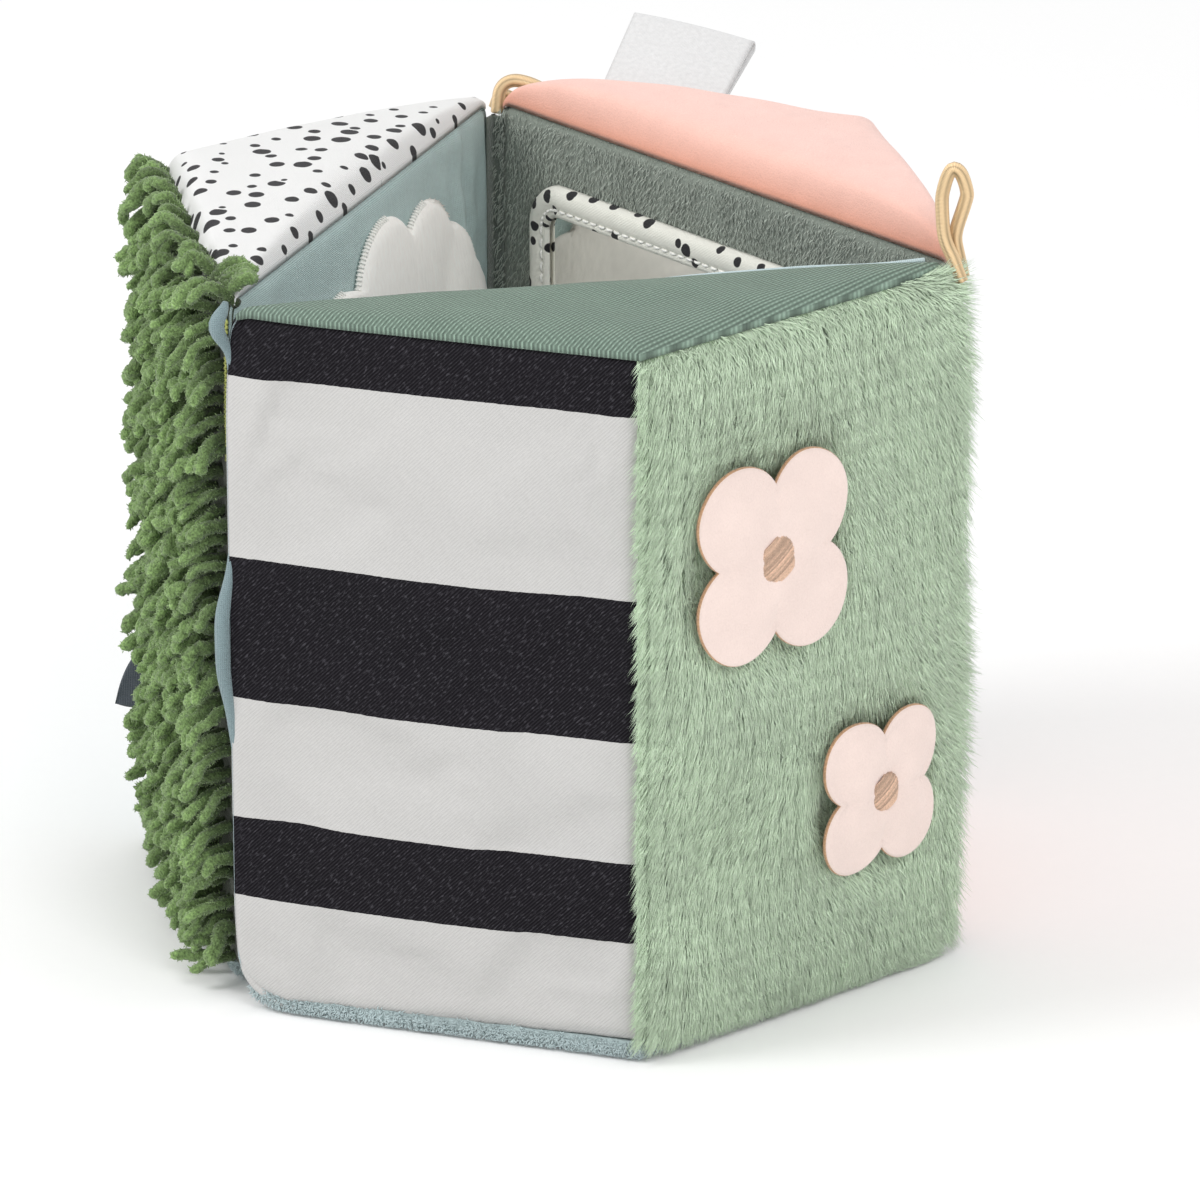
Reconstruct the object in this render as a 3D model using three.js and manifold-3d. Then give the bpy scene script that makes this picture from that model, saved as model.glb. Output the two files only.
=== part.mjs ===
// Soft activity mirror: three foam wedges in sewn fabric covers, chained by two fabric hinges.
// Closed, they stand as a hexagonal ring round a triangular well; opened, they make a row.
// Millimetres, +Z up. The origin lies on the base of the mirror wedge.

import * as THREE from 'three';
import { mergeVertices } from 'three/addons/utils/BufferGeometryUtils.js';
import Module from 'manifold-3d';

const wasm = await Module();
wasm.setup();

// Wedge sizes, shared by all three
const wedgeHeight = 165; // floor to the top seam
const innerWidth = 167; // tip to tip across an inner face, and hinge to hinge
const wedgeDepth = 49; // inner face to the obtuse edge
const coverThickness = 1.6; // fabric with its lining
const baseThickness = 4; // padded base panel
const baseRoll = 2.5; // how far the base panel draws in under the wedge
const clearance = 0.3; // between pieces that lie against each other
const tipCut = 1.6; // blunt end of every panel at a tip
const coreTipCut = 4.5; // blunt end of a foam core at a tip

// Soft form of the sewn corners at the tips
const topCornerRadius = 6;
const baseCornerRadius = 12;
const tipPull = 2.2; // how far a tip draws in at its ends
const tipPullReach = 30; // how far along the edges that reaches

// Ring layout
const hingeSeamDiameter = 2.2;
const hingeSeamInset = 5.5; // from the top seam to the hinge seam's end
const hingeSeamFoot = 13; // from the floor to its other end, above the soft corners
const datumDepth = 16; // mirror wedge's inner face to the origin
const grassAngle = 58.65; // degrees between the grass and mirror inner faces
const stripeAngle = 62.83; // degrees between the striped and mirror inner faces

// Crown of each wedge's faces
const mirrorCrown = { inner: 0, outer: 2, top: 7.5 };
const grassCrown = { inner: 3.5, outer: 2, top: 5 };
const stripeCrown = { inner: 4, outer: 1.6, top: 2 };

// Mirror and its fabric frame
const frameSideMargin = 16.5; // frame to the inner face's tips
const frameEndMargin = 17; // frame to the top seam and the floor
const frameCornerRadius = 11;
const frameWidth = 7.5;
const frameThickness = 3.4;
const frameEdgeRoll = 0.8;
const mirrorThickness = 1;
const mirrorLap = 3; // mirror's edge behind the frame

// Folded label in the top seam
const labelWidth = 30;
const labelLength = 31;
const labelRise = 24; // degrees above the floor plane
const labelFabric = 0.6;
const labelFold = 3; // outside thickness at the fold
const labelAlong = 7.6; // from the middle of the mirror wedge's left outer face

// Gold elastic cord
const elasticDiameter = 3.2;
const elasticSides = 8;
const elasticSteps = 26;

// Long pile and flowers
const furPile = 5;
const flowerThickness = 1.8;
const flowerPetalRadius = 12.4;
const flowerPetalOffset = 14.6;
const flowerStretch = 1.02; // taller than wide
const flowerCentreWidth = 9.4;
const flowerCentreHeight = 10.4;
const flowerCentreThickness = 0.8;
const largeFlower = { along: -13, up: 112.7, scale: 1 };
const smallFlower = { along: 19.5, up: 48.4, scale: 0.785 };

// Cloud: lobes as [along, up, radius] on the grass wedge's inner face
const cloudLobes = [
  [-21, 127, 19.5], [6.8, 135.6, 20.3], [33.2, 133.8, 18.5], [42.7, 122.2, 22], [56, 112, 20],
];
const cloudFoot = 74; // height of the cloud's flat underside
const cloudThickness = 3;

// Chenille noodles
const noodleColumns = 12;
const noodleRows = 25;
const noodleSides = 3;
const noodleRadius = 2.1;
const noodleFill = 0.31; // most of a cell's shortest side that the radius takes
const noodleReach = 6.5; // straight out of the backing
const noodleReachDrop = 2;
const noodleHang = 4.2; // out again beyond the bend
const noodleHangDrop = 6.8;
const noodleSway = 1.1;
const noodleStagger = 0.22; // of a cell, to either side in turn
const noodleRoot = 0.27; // of a cell

// Slate leaf tab in the grass wedge's obtuse edge
const leafLength = 15;
const leafRoot = 16;
const leafThickness = 1.2;
const leafHeight = 32; // floor to the leaf's tip

// Grid of each cover panel: stations from the middle of a wedge to a tip, crowding at the soft corner
const stationMarks = [0, 0.3, 0.55, 0.77, 0.86, 0.94, 1];
const outerStations = stationMarks.length - 1;
const stations = 2 * outerStations;
const sideRows = 8;
const topRows = 4;
const baseRows = 2;
const curveSegments = 6;
const cutterHalfDepth = 30; // reach of a cutting outline through the panels

const up = new THREE.Vector3(0, 0, 1);
const halfInner = innerWidth / 2;
const tipAngle = Math.atan2(wedgeDepth, halfInner);
const sideFoot = baseThickness + 2 * clearance;
const coreDepth = coverThickness + 2 * clearance;
const sideTop = wedgeHeight - coverThickness - clearance;

// Unit outward normal of a side face, in the wedge's own frame
function faceNormal(face) {
  const slope = { inner: null, right: 1, left: -1 }[face];
  if (slope === null) return new THREE.Vector3(0, -1, 0);
  return new THREE.Vector3(slope * Math.sin(tipAngle), Math.cos(tipAngle), 0);
}

// Foot of a side face's middle line, in the wedge's own frame
function faceMiddle(face) {
  const side = { inner: 0, right: 1, left: -1 }[face];
  return new THREE.Vector3((side * halfInner) / 2, Math.abs(side) * (wedgeDepth / 2), 0);
}

// Frame on a side face: X counter-clockwise along it, Y up and Z out
function faceMatrix(face, along, height, lift) {
  const normal = faceNormal(face);
  const direction = new THREE.Vector3().crossVectors(up, normal);
  const origin = faceMiddle(face).addScaledVector(direction, along).addScaledVector(normal, lift);
  origin.z = height;
  return new THREE.Matrix4().makeBasis(direction, up, normal).setPosition(origin);
}

// Soft corners: the tips round off and draw in towards the top and the base
function softened(point) {
  const upper = point.z > wedgeHeight / 2;
  const radius = upper ? topCornerRadius : baseCornerRadius;
  let fromTip = halfInner - Math.abs(point.x);
  let fromEnd = upper ? wedgeHeight - point.z : point.z;
  const across = 1 - fromTip / radius;
  const along = 1 - fromEnd / radius;
  if (across > 0 && along > 0) {
    const shrink = Math.max(across, along) / Math.hypot(across, along);
    fromTip = radius * (1 - across * shrink);
    fromEnd = radius * (1 - along * shrink);
  }
  const fade = (distance) => Math.max(0, 1 - Math.max(0, distance) / tipPullReach) ** 2;
  const pulled = fromTip + tipPull * fade(fromTip) * fade(fromEnd);
  const x = Math.sign(point.x) * (halfInner - pulled);
  return new THREE.Vector3(x, point.y, upper ? wedgeHeight - fromEnd : fromEnd);
}

// Half width of the wedge's plan at a depth below the cover's surface
function halfWidth(depth) {
  return halfInner - depth / Math.tan(tipAngle / 2);
}

// Distance from the inner face's plane to the outer faces' plane at x, at a depth
function outerLine(x, depth) {
  return depth + (halfWidth(depth) - Math.abs(x)) * Math.tan(tipAngle);
}

// Rounded plateau from 0 at the edges of a unit square to 1 over its middle
function pillow(u, v) {
  return (1 - Math.abs(2 * u - 1) ** 6) * (1 - Math.abs(2 * v - 1) ** 6);
}

// A point of a cover side. station runs from -1 to 1 across the wedge, rise from 0 to 1 up it,
// depth lies below the surface, pile fluffs the panel's middle out and lift stands off it.
function sidePoint(crown, face, station, rise, { depth = 0, cut = tipCut, pile = 0, lift = 0 } = {}) {
  const reach = halfWidth(depth) - cut;
  const across = face === 'inner' ? 1 - station ** 2 : 1 - (2 * Math.abs(station) - 1) ** 2;
  const bell = 1 - (2 * rise - 1) ** 4;
  const start = face === 'inner' ? 0 : clearance / 2 / Math.cos(tipAngle);
  const sign = face === 'left' ? -1 : face === 'right' ? 1 : Math.sign(station);
  const x = sign * (start + (reach - start) * Math.abs(station));
  const y = face === 'inner' ? depth : outerLine(x, depth);
  const z = sideFoot + (sideTop - sideFoot) * rise;
  const plateau = pillow(face === 'inner' ? (station + 1) / 2 : Math.abs(station), rise);
  const swell = (face === 'inner' ? crown.inner : crown.outer) * across * bell;
  const out = swell + pile * plateau + lift;
  return softened(new THREE.Vector3(x, y, z).addScaledVector(faceNormal(face), out));
}

// A point of a top panel or of what lies under it, at a depth below the top seam's plane
function topPoint(crown, station, rise, depth, inset = 0, cut = tipCut) {
  const x = station * (halfWidth(inset) - cut);
  const y = inset + (outerLine(x, inset) - inset) * rise;
  const swell = crown.top * (1 - station ** 2) * (1 - (2 * rise - 1) ** 4);
  return softened(new THREE.Vector3(x, y, wedgeHeight - depth + swell));
}

// A point of a base panel, which is flat on the floor
function basePoint(station, rise, height, inset, cut = tipCut) {
  const x = station * (halfWidth(inset) - cut);
  const y = inset + (outerLine(x, inset) - inset) * rise;
  return softened(new THREE.Vector3(x, y, height));
}

// Stations run counter-clockwise round the wedge, and rises crowd towards the top and the base
function stationOf(face, column) {
  if (face === 'right') return stationMarks[outerStations - column];
  if (face === 'left') return -stationMarks[column];
  const step = column - outerStations;
  return Math.sign(step) * stationMarks[Math.abs(step)];
}

function riseOf(row) {
  return (1 - Math.cos((Math.PI * row) / sideRows)) / 2;
}

function geometryOf(points, faces) {
  const geometry = new THREE.BufferGeometry().setFromPoints(points);
  geometry.setIndex(faces.flat());
  geometry.computeVertexNormals();
  return geometry;
}

// Closed sheet between an outer and an inner surface, both functions of the column and the row
function sheet(columns, rows, outer, inner) {
  const points = [];
  const faces = [];
  const count = (columns + 1) * (rows + 1);
  for (const surface of [outer, inner]) {
    for (let row = 0; row <= rows; row++) {
      for (let column = 0; column <= columns; column++) {
        points.push(surface(column, row));
      }
    }
  }
  const at = (column, row) => row * (columns + 1) + column;
  for (let row = 0; row < rows; row++) {
    for (let column = 0; column < columns; column++) {
      const [a, b] = [at(column, row), at(column + 1, row)];
      const [c, d] = [at(column + 1, row + 1), at(column, row + 1)];
      faces.push([a, b, c], [a, c, d]);
      faces.push([a + count, c + count, b + count], [a + count, d + count, c + count]);
    }
  }
  faces.push(...rimFaces(columns, rows, at, count));
  return geometryOf(points, faces);
}

// Faces round the rim of a sheet, from its outer surface to its inner one
function rimFaces(columns, rows, at, count) {
  const rim = [];
  for (let column = 0; column < columns; column++) rim.push(at(column, 0));
  for (let row = 0; row < rows; row++) rim.push(at(columns, row));
  for (let column = columns; column > 0; column--) rim.push(at(column, rows));
  for (let row = rows; row > 0; row--) rim.push(at(0, row));
  return rim.flatMap((a, k) => {
    const b = rim[(k + 1) % rim.length];
    return [[a, a + count, b + count], [a, b + count, b]];
  });
}

// Cover panels of a wedge
function sidePanel(crown, face, pile = 0) {
  const columns = face === 'inner' ? stations : outerStations;
  const at = (column, row, layer) => {
    return sidePoint(crown, face, stationOf(face, column), riseOf(row), layer);
  };
  return sheet(
    columns,
    sideRows,
    (column, row) => at(column, row, { pile }),
    (column, row) => at(column, row, { depth: coverThickness }),
  );
}

function topPanel(crown) {
  const at = (column, row, depth) => topPoint(crown, stationOf('top', column), row / topRows, depth);
  return sheet(
    stations,
    topRows,
    (column, row) => at(column, row, 0),
    (column, row) => at(column, row, coverThickness),
  );
}

function basePanel() {
  const at = (column, row, height, inset) => {
    return basePoint(stationOf('base', column), 1 - row / baseRows, height, inset);
  };
  return sheet(
    stations,
    baseRows,
    (column, row) => at(column, row, 0, baseRoll),
    (column, row) => at(column, row, baseThickness, 0),
  );
}

// Foam core: rings round the wedge at each station, just inside the cover
function foamCore(crown) {
  const layer = { depth: coreDepth, cut: coreTipCut };
  const rings = [];
  for (let column = 0; column <= stations; column++) {
    const station = stationOf('core', column);
    const outerFace = station < 0 ? 'left' : 'right';
    const ring = [];
    for (let row = 0; row <= sideRows; row++) {
      ring.push(sidePoint(crown, 'inner', station, riseOf(row), layer));
    }
    for (let row = 1; row < topRows; row++) {
      ring.push(topPoint(crown, station, row / topRows, coreDepth, coreDepth, coreTipCut));
    }
    for (let row = sideRows; row >= 0; row--) {
      ring.push(sidePoint(crown, outerFace, station, riseOf(row), layer));
    }
    for (let row = baseRows - 1; row > 0; row--) {
      ring.push(basePoint(station, row / baseRows, sideFoot, coreDepth, coreTipCut));
    }
    rings.push(ring);
  }
  return loft(rings);
}

// Closed body through rings of equal length, with a fan over each end
function loft(rings) {
  const size = rings[0].length;
  const points = rings.flat();
  const faces = [];
  for (let i = 0; i + 1 < rings.length; i++) {
    for (let k = 0; k < size; k++) {
      const next = (k + 1) % size;
      const [a, b] = [i * size + k, (i + 1) * size + k];
      const [c, d] = [(i + 1) * size + next, i * size + next];
      faces.push([a, b, c], [a, c, d]);
    }
  }
  for (const end of [0, rings.length - 1]) {
    const middle = new THREE.Vector3();
    for (const point of rings[end]) middle.addScaledVector(point, 1 / size);
    points.push(middle);
    for (let k = 0; k < size; k++) {
      const edge = [end * size + k, end * size + ((k + 1) % size)];
      faces.push([points.length - 1, ...(end === 0 ? edge : edge.reverse())]);
    }
  }
  return geometryOf(points, faces);
}

// Joins and cuts
function solidOf(geometry) {
  const plain = geometry.clone();
  plain.deleteAttribute('normal');
  plain.deleteAttribute('uv');
  const merged = mergeVertices(plain);
  const mesh = new wasm.Mesh({
    numProp: 3,
    vertProperties: new Float32Array(merged.attributes.position.array),
    triVerts: new Uint32Array(merged.index.array),
  });
  return new wasm.Manifold(mesh);
}

function geometryFrom(solid) {
  const mesh = solid.getMesh();
  const geometry = new THREE.BufferGeometry();
  geometry.setAttribute('position', new THREE.BufferAttribute(mesh.vertProperties, 3));
  geometry.setIndex(new THREE.BufferAttribute(mesh.triVerts, 1));
  geometry.computeVertexNormals();
  return geometry;
}

// Outline on a face, drawn right through the wedge as a cutter
function outlineCutter(face, outline) {
  const settings = { depth: 2 * cutterHalfDepth, bevelEnabled: false, curveSegments };
  const prism = new THREE.ExtrudeGeometry(outline, settings);
  return solidOf(prism.applyMatrix4(faceMatrix(face, 0, 0, -cutterHalfDepth)));
}

// A cut fabric shape that follows the crown of the panel it is sewn to
function applique(crown, face, cutter, lift, thickness, pile = 0) {
  const columns = face === 'inner' ? stations : outerStations;
  const at = (column, row, height) => {
    return sidePoint(crown, face, stationOf(face, column), riseOf(row), { pile, lift: height });
  };
  const slab = sheet(
    columns,
    sideRows,
    (column, row) => at(column, row, lift + thickness),
    (column, row) => at(column, row, lift),
  );
  return geometryFrom(solidOf(slab).intersect(cutter));
}

function roundedRectangle(width, height, radius) {
  const [x, y] = [width / 2 - radius, height / 2 - radius];
  const shape = new THREE.Shape();
  shape.absarc(x, -y, radius, -Math.PI / 2, 0);
  shape.absarc(x, y, radius, 0, Math.PI / 2);
  shape.absarc(-x, y, radius, Math.PI / 2, Math.PI);
  shape.absarc(-x, -y, radius, Math.PI, 1.5 * Math.PI);
  return shape;
}

// Mirror sheet and the frame that laps its edge
const frameOuter = [innerWidth - 2 * frameSideMargin, wedgeHeight - 2 * frameEndMargin];
const mirrorSize = frameOuter.map((side) => side - 2 * (frameWidth - mirrorLap));
const mirrorCorner = frameCornerRadius - frameWidth + mirrorLap;

function mirrorSheet() {
  const outline = roundedRectangle(...mirrorSize, mirrorCorner);
  const settings = { depth: mirrorThickness, bevelEnabled: false, curveSegments };
  const geometry = new THREE.ExtrudeGeometry(outline, settings);
  return geometry.applyMatrix4(faceMatrix('inner', 0, wedgeHeight / 2, clearance));
}

function mirrorFrame() {
  const shrink = frameEdgeRoll;
  const outer = frameOuter.map((side) => side - 2 * shrink);
  const opening = frameOuter.map((side) => side - 2 * frameWidth + 2 * shrink);
  const outline = roundedRectangle(...outer, frameCornerRadius - shrink);
  outline.holes.push(roundedRectangle(...opening, frameCornerRadius - frameWidth + shrink));
  const ring = new THREE.ExtrudeGeometry(outline, {
    depth: frameThickness - 2 * frameEdgeRoll,
    bevelThickness: frameEdgeRoll,
    bevelSize: frameEdgeRoll,
    bevelSegments: 1,
    curveSegments,
  });
  ring.translate(0, 0, frameEdgeRoll);
  const pocketSize = mirrorSize.map((side) => side + 2 * clearance);
  const pocket = new THREE.ExtrudeGeometry(roundedRectangle(...pocketSize, mirrorCorner + clearance), {
    depth: 2 * (mirrorThickness + clearance),
    bevelEnabled: false,
    curveSegments,
  });
  pocket.translate(0, 0, -(mirrorThickness + clearance));
  const frame = geometryFrom(solidOf(ring).subtract(solidOf(pocket)));
  return frame.applyMatrix4(faceMatrix('inner', 0, wedgeHeight / 2, clearance));
}

// Folded ribbon label: a hairpin profile across its width, rising out of the top seam
function sideLabel() {
  const half = labelFold / 2;
  const profile = new THREE.Shape();
  profile.moveTo(0, -labelFabric);
  profile.lineTo(labelLength - half, -half);
  profile.absarc(labelLength - half, 0, half, -Math.PI / 2, Math.PI / 2);
  profile.lineTo(0, labelFabric);
  const slot = new THREE.Path();
  const slotEnd = labelLength - half;
  slot.moveTo(labelFold, 0);
  slot.lineTo(slotEnd, half - labelFabric);
  slot.absarc(slotEnd, 0, half - labelFabric, Math.PI / 2, -Math.PI / 2, true);
  profile.holes.push(slot);
  const settings = { depth: labelWidth, bevelEnabled: false, curveSegments: curveSegments / 2 };
  const geometry = new THREE.ExtrudeGeometry(profile, settings);
  geometry.translate(0, 0, -labelWidth / 2);
  geometry.rotateZ(THREE.MathUtils.degToRad(labelRise));
  // The profile's X runs out of the face, its Y up and its depth back along the face.
  geometry.rotateY(-Math.PI / 2);
  const foot = wedgeHeight - coverThickness / 2;
  return geometry.applyMatrix4(faceMatrix('left', labelAlong, foot, 2 * clearance));
}

// Four round petals that meet at sharp notches
function flowerOutline({ along, up: height, scale }) {
  const [radius, offset] = [flowerPetalRadius * scale, flowerPetalOffset * scale];
  const notch = offset * Math.SQRT1_2 + Math.sqrt(radius ** 2 - offset ** 2 / 2);
  const spread = Math.atan2(notch * Math.SQRT1_2, notch * Math.SQRT1_2 - offset);
  const petals = new THREE.Shape();
  for (let k = 0; k < 4; k++) {
    const angle = ((2 * k + 1) * Math.PI) / 4;
    const [x, y] = [offset * Math.cos(angle), offset * Math.sin(angle)];
    petals.absarc(x, y, radius, angle - spread, angle + spread);
  }
  const points = petals.getPoints(curveSegments).map((p) => {
    return new THREE.Vector2(along + p.x, height + p.y * flowerStretch);
  });
  return new THREE.Shape(points.slice(0, -1));
}

function flowerCentreOutline({ along, up: height, scale }) {
  const shape = new THREE.Shape();
  const [width, tall] = [flowerCentreWidth * scale, flowerCentreHeight * scale];
  shape.absellipse(along, height, width / 2, tall / 2, 0, 2 * Math.PI);
  return shape;
}

function flower(place) {
  const cutter = outlineCutter('left', flowerOutline(place));
  return applique(stripeCrown, 'left', cutter, clearance, flowerThickness, furPile);
}

function flowerCentre(place) {
  const cutter = outlineCutter('left', flowerCentreOutline(place));
  const lift = flowerThickness + 2 * clearance;
  return applique(stripeCrown, 'left', cutter, lift, flowerCentreThickness, furPile);
}

// Cloud: one round lobe after another over a flat foot
function cloudApplique() {
  const [first, last] = [cloudLobes[0], cloudLobes.at(-1)];
  const band = new THREE.Shape();
  band.moveTo(first[0], cloudFoot);
  band.lineTo(last[0], cloudFoot);
  for (const [along, height] of [...cloudLobes].reverse()) band.lineTo(along, height);
  let cutter = outlineCutter('inner', band);
  for (const [along, height, radius] of cloudLobes) {
    const lobe = new THREE.Shape();
    lobe.absarc(along, height, radius, 0, 2 * Math.PI);
    cutter = cutter.add(outlineCutter('inner', lobe));
  }
  const above = new THREE.BoxGeometry(2 * innerWidth, 2 * innerWidth, wedgeHeight);
  above.translate(0, 0, cloudFoot + wedgeHeight / 2);
  return applique(grassCrown, 'inner', cutter.intersect(solidOf(above)), clearance, cloudThickness);
}

// Grass: a backing sheet with a noodle growing out of the middle of each cell above the lowest row
function chenilleGrass() {
  const columns = noodleColumns;
  const rows = noodleRows + 1;
  const surface = (u, v, depth) => sidePoint(grassCrown, 'left', -u, v, { depth });
  const points = [];
  const faces = [];
  const count = (columns + 1) * (rows + 1);
  for (const depth of [0, coverThickness]) {
    for (let row = 0; row <= rows; row++) {
      for (let column = 0; column <= columns; column++) {
        points.push(surface(column / columns, row / rows, depth));
      }
    }
  }
  const at = (column, row) => row * (columns + 1) + column;
  for (let row = 0; row < rows; row++) {
    for (let column = 0; column < columns; column++) {
      const cell = [at(column, row), at(column + 1, row), at(column + 1, row + 1), at(column, row + 1)];
      const [a, b, c, d] = cell;
      faces.push([a + count, c + count, b + count], [a + count, d + count, c + count]);
      if (row === 0) faces.push([a, b, c], [a, c, d]);
      else growNoodle(points, faces, cell, row, column);
    }
  }
  faces.push(...rimFaces(columns, rows, at, count));
  return geometryOf(points, faces);
}

// One noodle: its root is a hole in its cell, and it bends once and ends bluntly
function growNoodle(points, faces, cell, row, column) {
  const corners = cell.map((index) => points[index]);
  const shift = 0.5 + noodleStagger * (row % 2 ? 1 : -1);
  const angles = Array.from({ length: noodleSides }, (_, k) => Math.PI / 2 + (2 * Math.PI * k) / noodleSides);
  const root = angles.map((angle) => {
    return new THREE.Vector2(shift + noodleRoot * Math.cos(angle), 0.5 + noodleRoot * Math.sin(angle));
  });
  const onCell = ({ x, y }) => {
    const foot = corners[0].clone().lerp(corners[1], x);
    return foot.lerp(corners[3].clone().lerp(corners[2], x), y);
  };
  const square = [[0, 0], [1, 0], [1, 1], [0, 1]].map(([x, y]) => new THREE.Vector2(x, y));
  const first = points.length;
  const ringIndex = (ring, k) => first + ring * noodleSides + (k % noodleSides);
  const hole = [...root].reverse();
  const around = [...cell, ...hole.map((_, k) => ringIndex(0, noodleSides - 1 - k))];
  for (const face of THREE.ShapeUtils.triangulateShape(square, [hole])) {
    faces.push(face.map((index) => around[index]));
  }

  const normal = faceNormal('left');
  const sideways = new THREE.Vector3().crossVectors(up, normal);
  const sway = noodleSway * Math.sin(1.7 * row + 2.3 * column);
  const step = (out, drop) => new THREE.Vector3().addScaledVector(normal, out).addScaledVector(up, -drop);
  const bend = onCell({ x: shift, y: 0.5 }).add(step(noodleReach, noodleReachDrop));
  const end = bend.clone().add(step(noodleHang, noodleHangDrop)).addScaledVector(sideways, sway);
  const bendWay = step(noodleReach + noodleHang, noodleReachDrop + noodleHangDrop).normalize();
  const endWay = step(noodleHang, noodleHangDrop).normalize();
  const sides = corners.map((corner, k) => corner.distanceTo(corners[(k + 1) % corners.length]));
  const radius = Math.min(noodleRadius, noodleFill * Math.min(...sides));
  const ringAt = (middle, way) => {
    const over = new THREE.Vector3().crossVectors(way, sideways);
    return angles.map((angle) => {
      const point = middle.clone().addScaledVector(sideways, radius * Math.cos(angle));
      return point.addScaledVector(over, radius * Math.sin(angle));
    });
  };
  points.push(...root.map(onCell), ...ringAt(bend, bendWay), ...ringAt(end, endWay));
  for (let ring = 0; ring < 2; ring++) {
    for (let k = 0; k < noodleSides; k++) {
      const [a, b] = [ringIndex(ring, k), ringIndex(ring, k + 1)];
      const [c, d] = [ringIndex(ring + 1, k + 1), ringIndex(ring + 1, k)];
      faces.push([a, b, c], [a, c, d]);
    }
  }
  for (let k = 1; k + 1 < noodleSides; k++) {
    faces.push([ringIndex(2, 0), ringIndex(2, k), ringIndex(2, k + 1)]);
  }
}

// Leaf tab: a pointed flat shape that stands out of the obtuse edge
function leafTab() {
  const leaf = new THREE.Shape();
  leaf.moveTo(0, leafRoot / 4);
  leaf.quadraticCurveTo(leafLength / 2, -leafRoot / 8, leafLength, 0);
  leaf.quadraticCurveTo(leafLength * 0.8, leafRoot, 0, leafRoot + leafRoot / 4);
  const settings = { depth: leafThickness, bevelEnabled: false, curveSegments };
  const geometry = new THREE.ExtrudeGeometry(leaf, settings);
  geometry.translate(clearance, 0, -leafThickness / 2);
  geometry.rotateX(Math.PI / 2);
  geometry.rotateZ(Math.PI / 2);
  return geometry.translate(0, wedgeDepth, leafHeight);
}

// Hinge seam: a slim rolled seam on the hinge axis
function hingeSeam() {
  const height = wedgeHeight - hingeSeamInset - hingeSeamFoot;
  const radius = hingeSeamDiameter / 2;
  const geometry = new THREE.CylinderGeometry(radius, radius, height, elasticSides);
  return geometry.rotateX(Math.PI / 2).translate(0, 0, hingeSeamFoot + height / 2);
}

// Elastic cords, as points from the hinge axis just above the hinge seam's top end
const uprightLoop = [
  [1.2, -1.3, 0], [-0.1, -2.8, 5.5], [-1.2, -3.6, 8.5], [-2, -3.9, 11.5], [-2.7, -3.8, 17.3],
  [-2.8, -3.5, 20], [-2.2, -2.7, 23.7], [-1.4, -1.7, 25.4], [-0.3, -0.4, 24.1], [0.4, 0.7, 20],
  [0, 0.5, 17.3], [-1.5, -0.4, 11.5], [-2, -0.3, 8.5], [-1.8, 0.4, 5], [-1.2, 1.3, 0],
];
const foldedLoop = [
  [2, 0, 0], [2.2, 0.8, 5.4], [3.6, 3, 7.5], [6.6, 5.7, 7.2], [10, 9, 5], [12.8, 12, 1.6], [13.8, 13.9, -2.2],
  [12.2, 14.3, -5.2], [8.8, 12.4, -5], [5, 9.5, -2], [2, 6.1, 1.6], [-0.2, 3, 3], [-1, 1.7, 0],
];

function elasticLoop(route) {
  const section = new THREE.Shape();
  section.setFromPoints(
    Array.from({ length: elasticSides }, (_, k) => {
      const angle = (2 * Math.PI * k) / elasticSides;
      return new THREE.Vector2(Math.cos(angle), Math.sin(angle)).multiplyScalar(elasticDiameter / 2);
    }),
  );
  const base = wedgeHeight - hingeSeamInset + 2 * clearance;
  const path = new THREE.CatmullRomCurve3(route.map(([x, y, z]) => new THREE.Vector3(x, y, base + z)));
  return new THREE.ExtrudeGeometry(section, { steps: elasticSteps, extrudePath: path, bevelEnabled: false });
}

// Materials
const fabric = (color, roughness = 0.95) => new THREE.MeshStandardMaterial({ color, roughness });
const peach = fabric('#f8d2c5');
const felt = fabric('#f7e2da');
const greyGreen = fabric('#81877f');
const fleeceBlue = fabric('#9caaab');
const dustyTeal = fabric('#94a7a5');
const paleBlue = fabric('#b7c9cd');
const twillGreen = fabric('#7f9184', 0.85);
const stripes = fabric('#d4d3d1', 0.9);
const fur = fabric('#adbda6');
const chenille = fabric('#64774f');
const cotton = fabric('#eeeeed');
const cream = fabric('#e8e4d8');
const fleeceWhite = fabric('#d8d4cd');
const slate = fabric('#4c545c');
const ribbon = fabric('#e9e9e9', 0.8);
const foam = fabric('#f0e8c8');
const gold = new THREE.MeshStandardMaterial({ color: '#c8a980', roughness: 0.45, metalness: 0.4 });
const thread = new THREE.MeshStandardMaterial({ color: '#cfb4a2', roughness: 0.6, metalness: 0.2 });
const mirror = new THREE.MeshStandardMaterial({ color: '#e6e6e6', roughness: 0.03, metalness: 1 });

function named(name, geometry, material) {
  const mesh = new THREE.Mesh(geometry, material);
  mesh.name = name;
  return mesh;
}

// Mirror wedge, with the hinges, the label and the elastic
const mirrorWedge = new THREE.Group();
mirrorWedge.add(
  named('mirror_foam_core', foamCore(mirrorCrown), foam),
  named('mirror_top_panel', topPanel(mirrorCrown), peach),
  named('mirror_base_panel', basePanel(), fleeceBlue),
  named('mirror_inner_panel', sidePanel(mirrorCrown, 'inner'), greyGreen),
  named('mirror_outer_left_panel', sidePanel(mirrorCrown, 'left'), greyGreen),
  named('mirror_outer_right_panel', sidePanel(mirrorCrown, 'right'), peach),
  named('mirror_sheet', mirrorSheet(), mirror),
  named('mirror_frame', mirrorFrame(), cream),
  named('side_label', sideLabel(), ribbon),
);
for (const [side, x, name, route] of [
  ['left', -halfInner, 'elastic_loop_folded', foldedLoop],
  ['right', halfInner, 'elastic_loop_upright', uprightLoop],
]) {
  const seam = named(`hinge_seam_${side}`, hingeSeam(), greyGreen);
  const loop = named(name, elasticLoop(route), gold);
  seam.position.x = x;
  loop.position.x = x;
  mirrorWedge.add(seam, loop);
}

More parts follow.
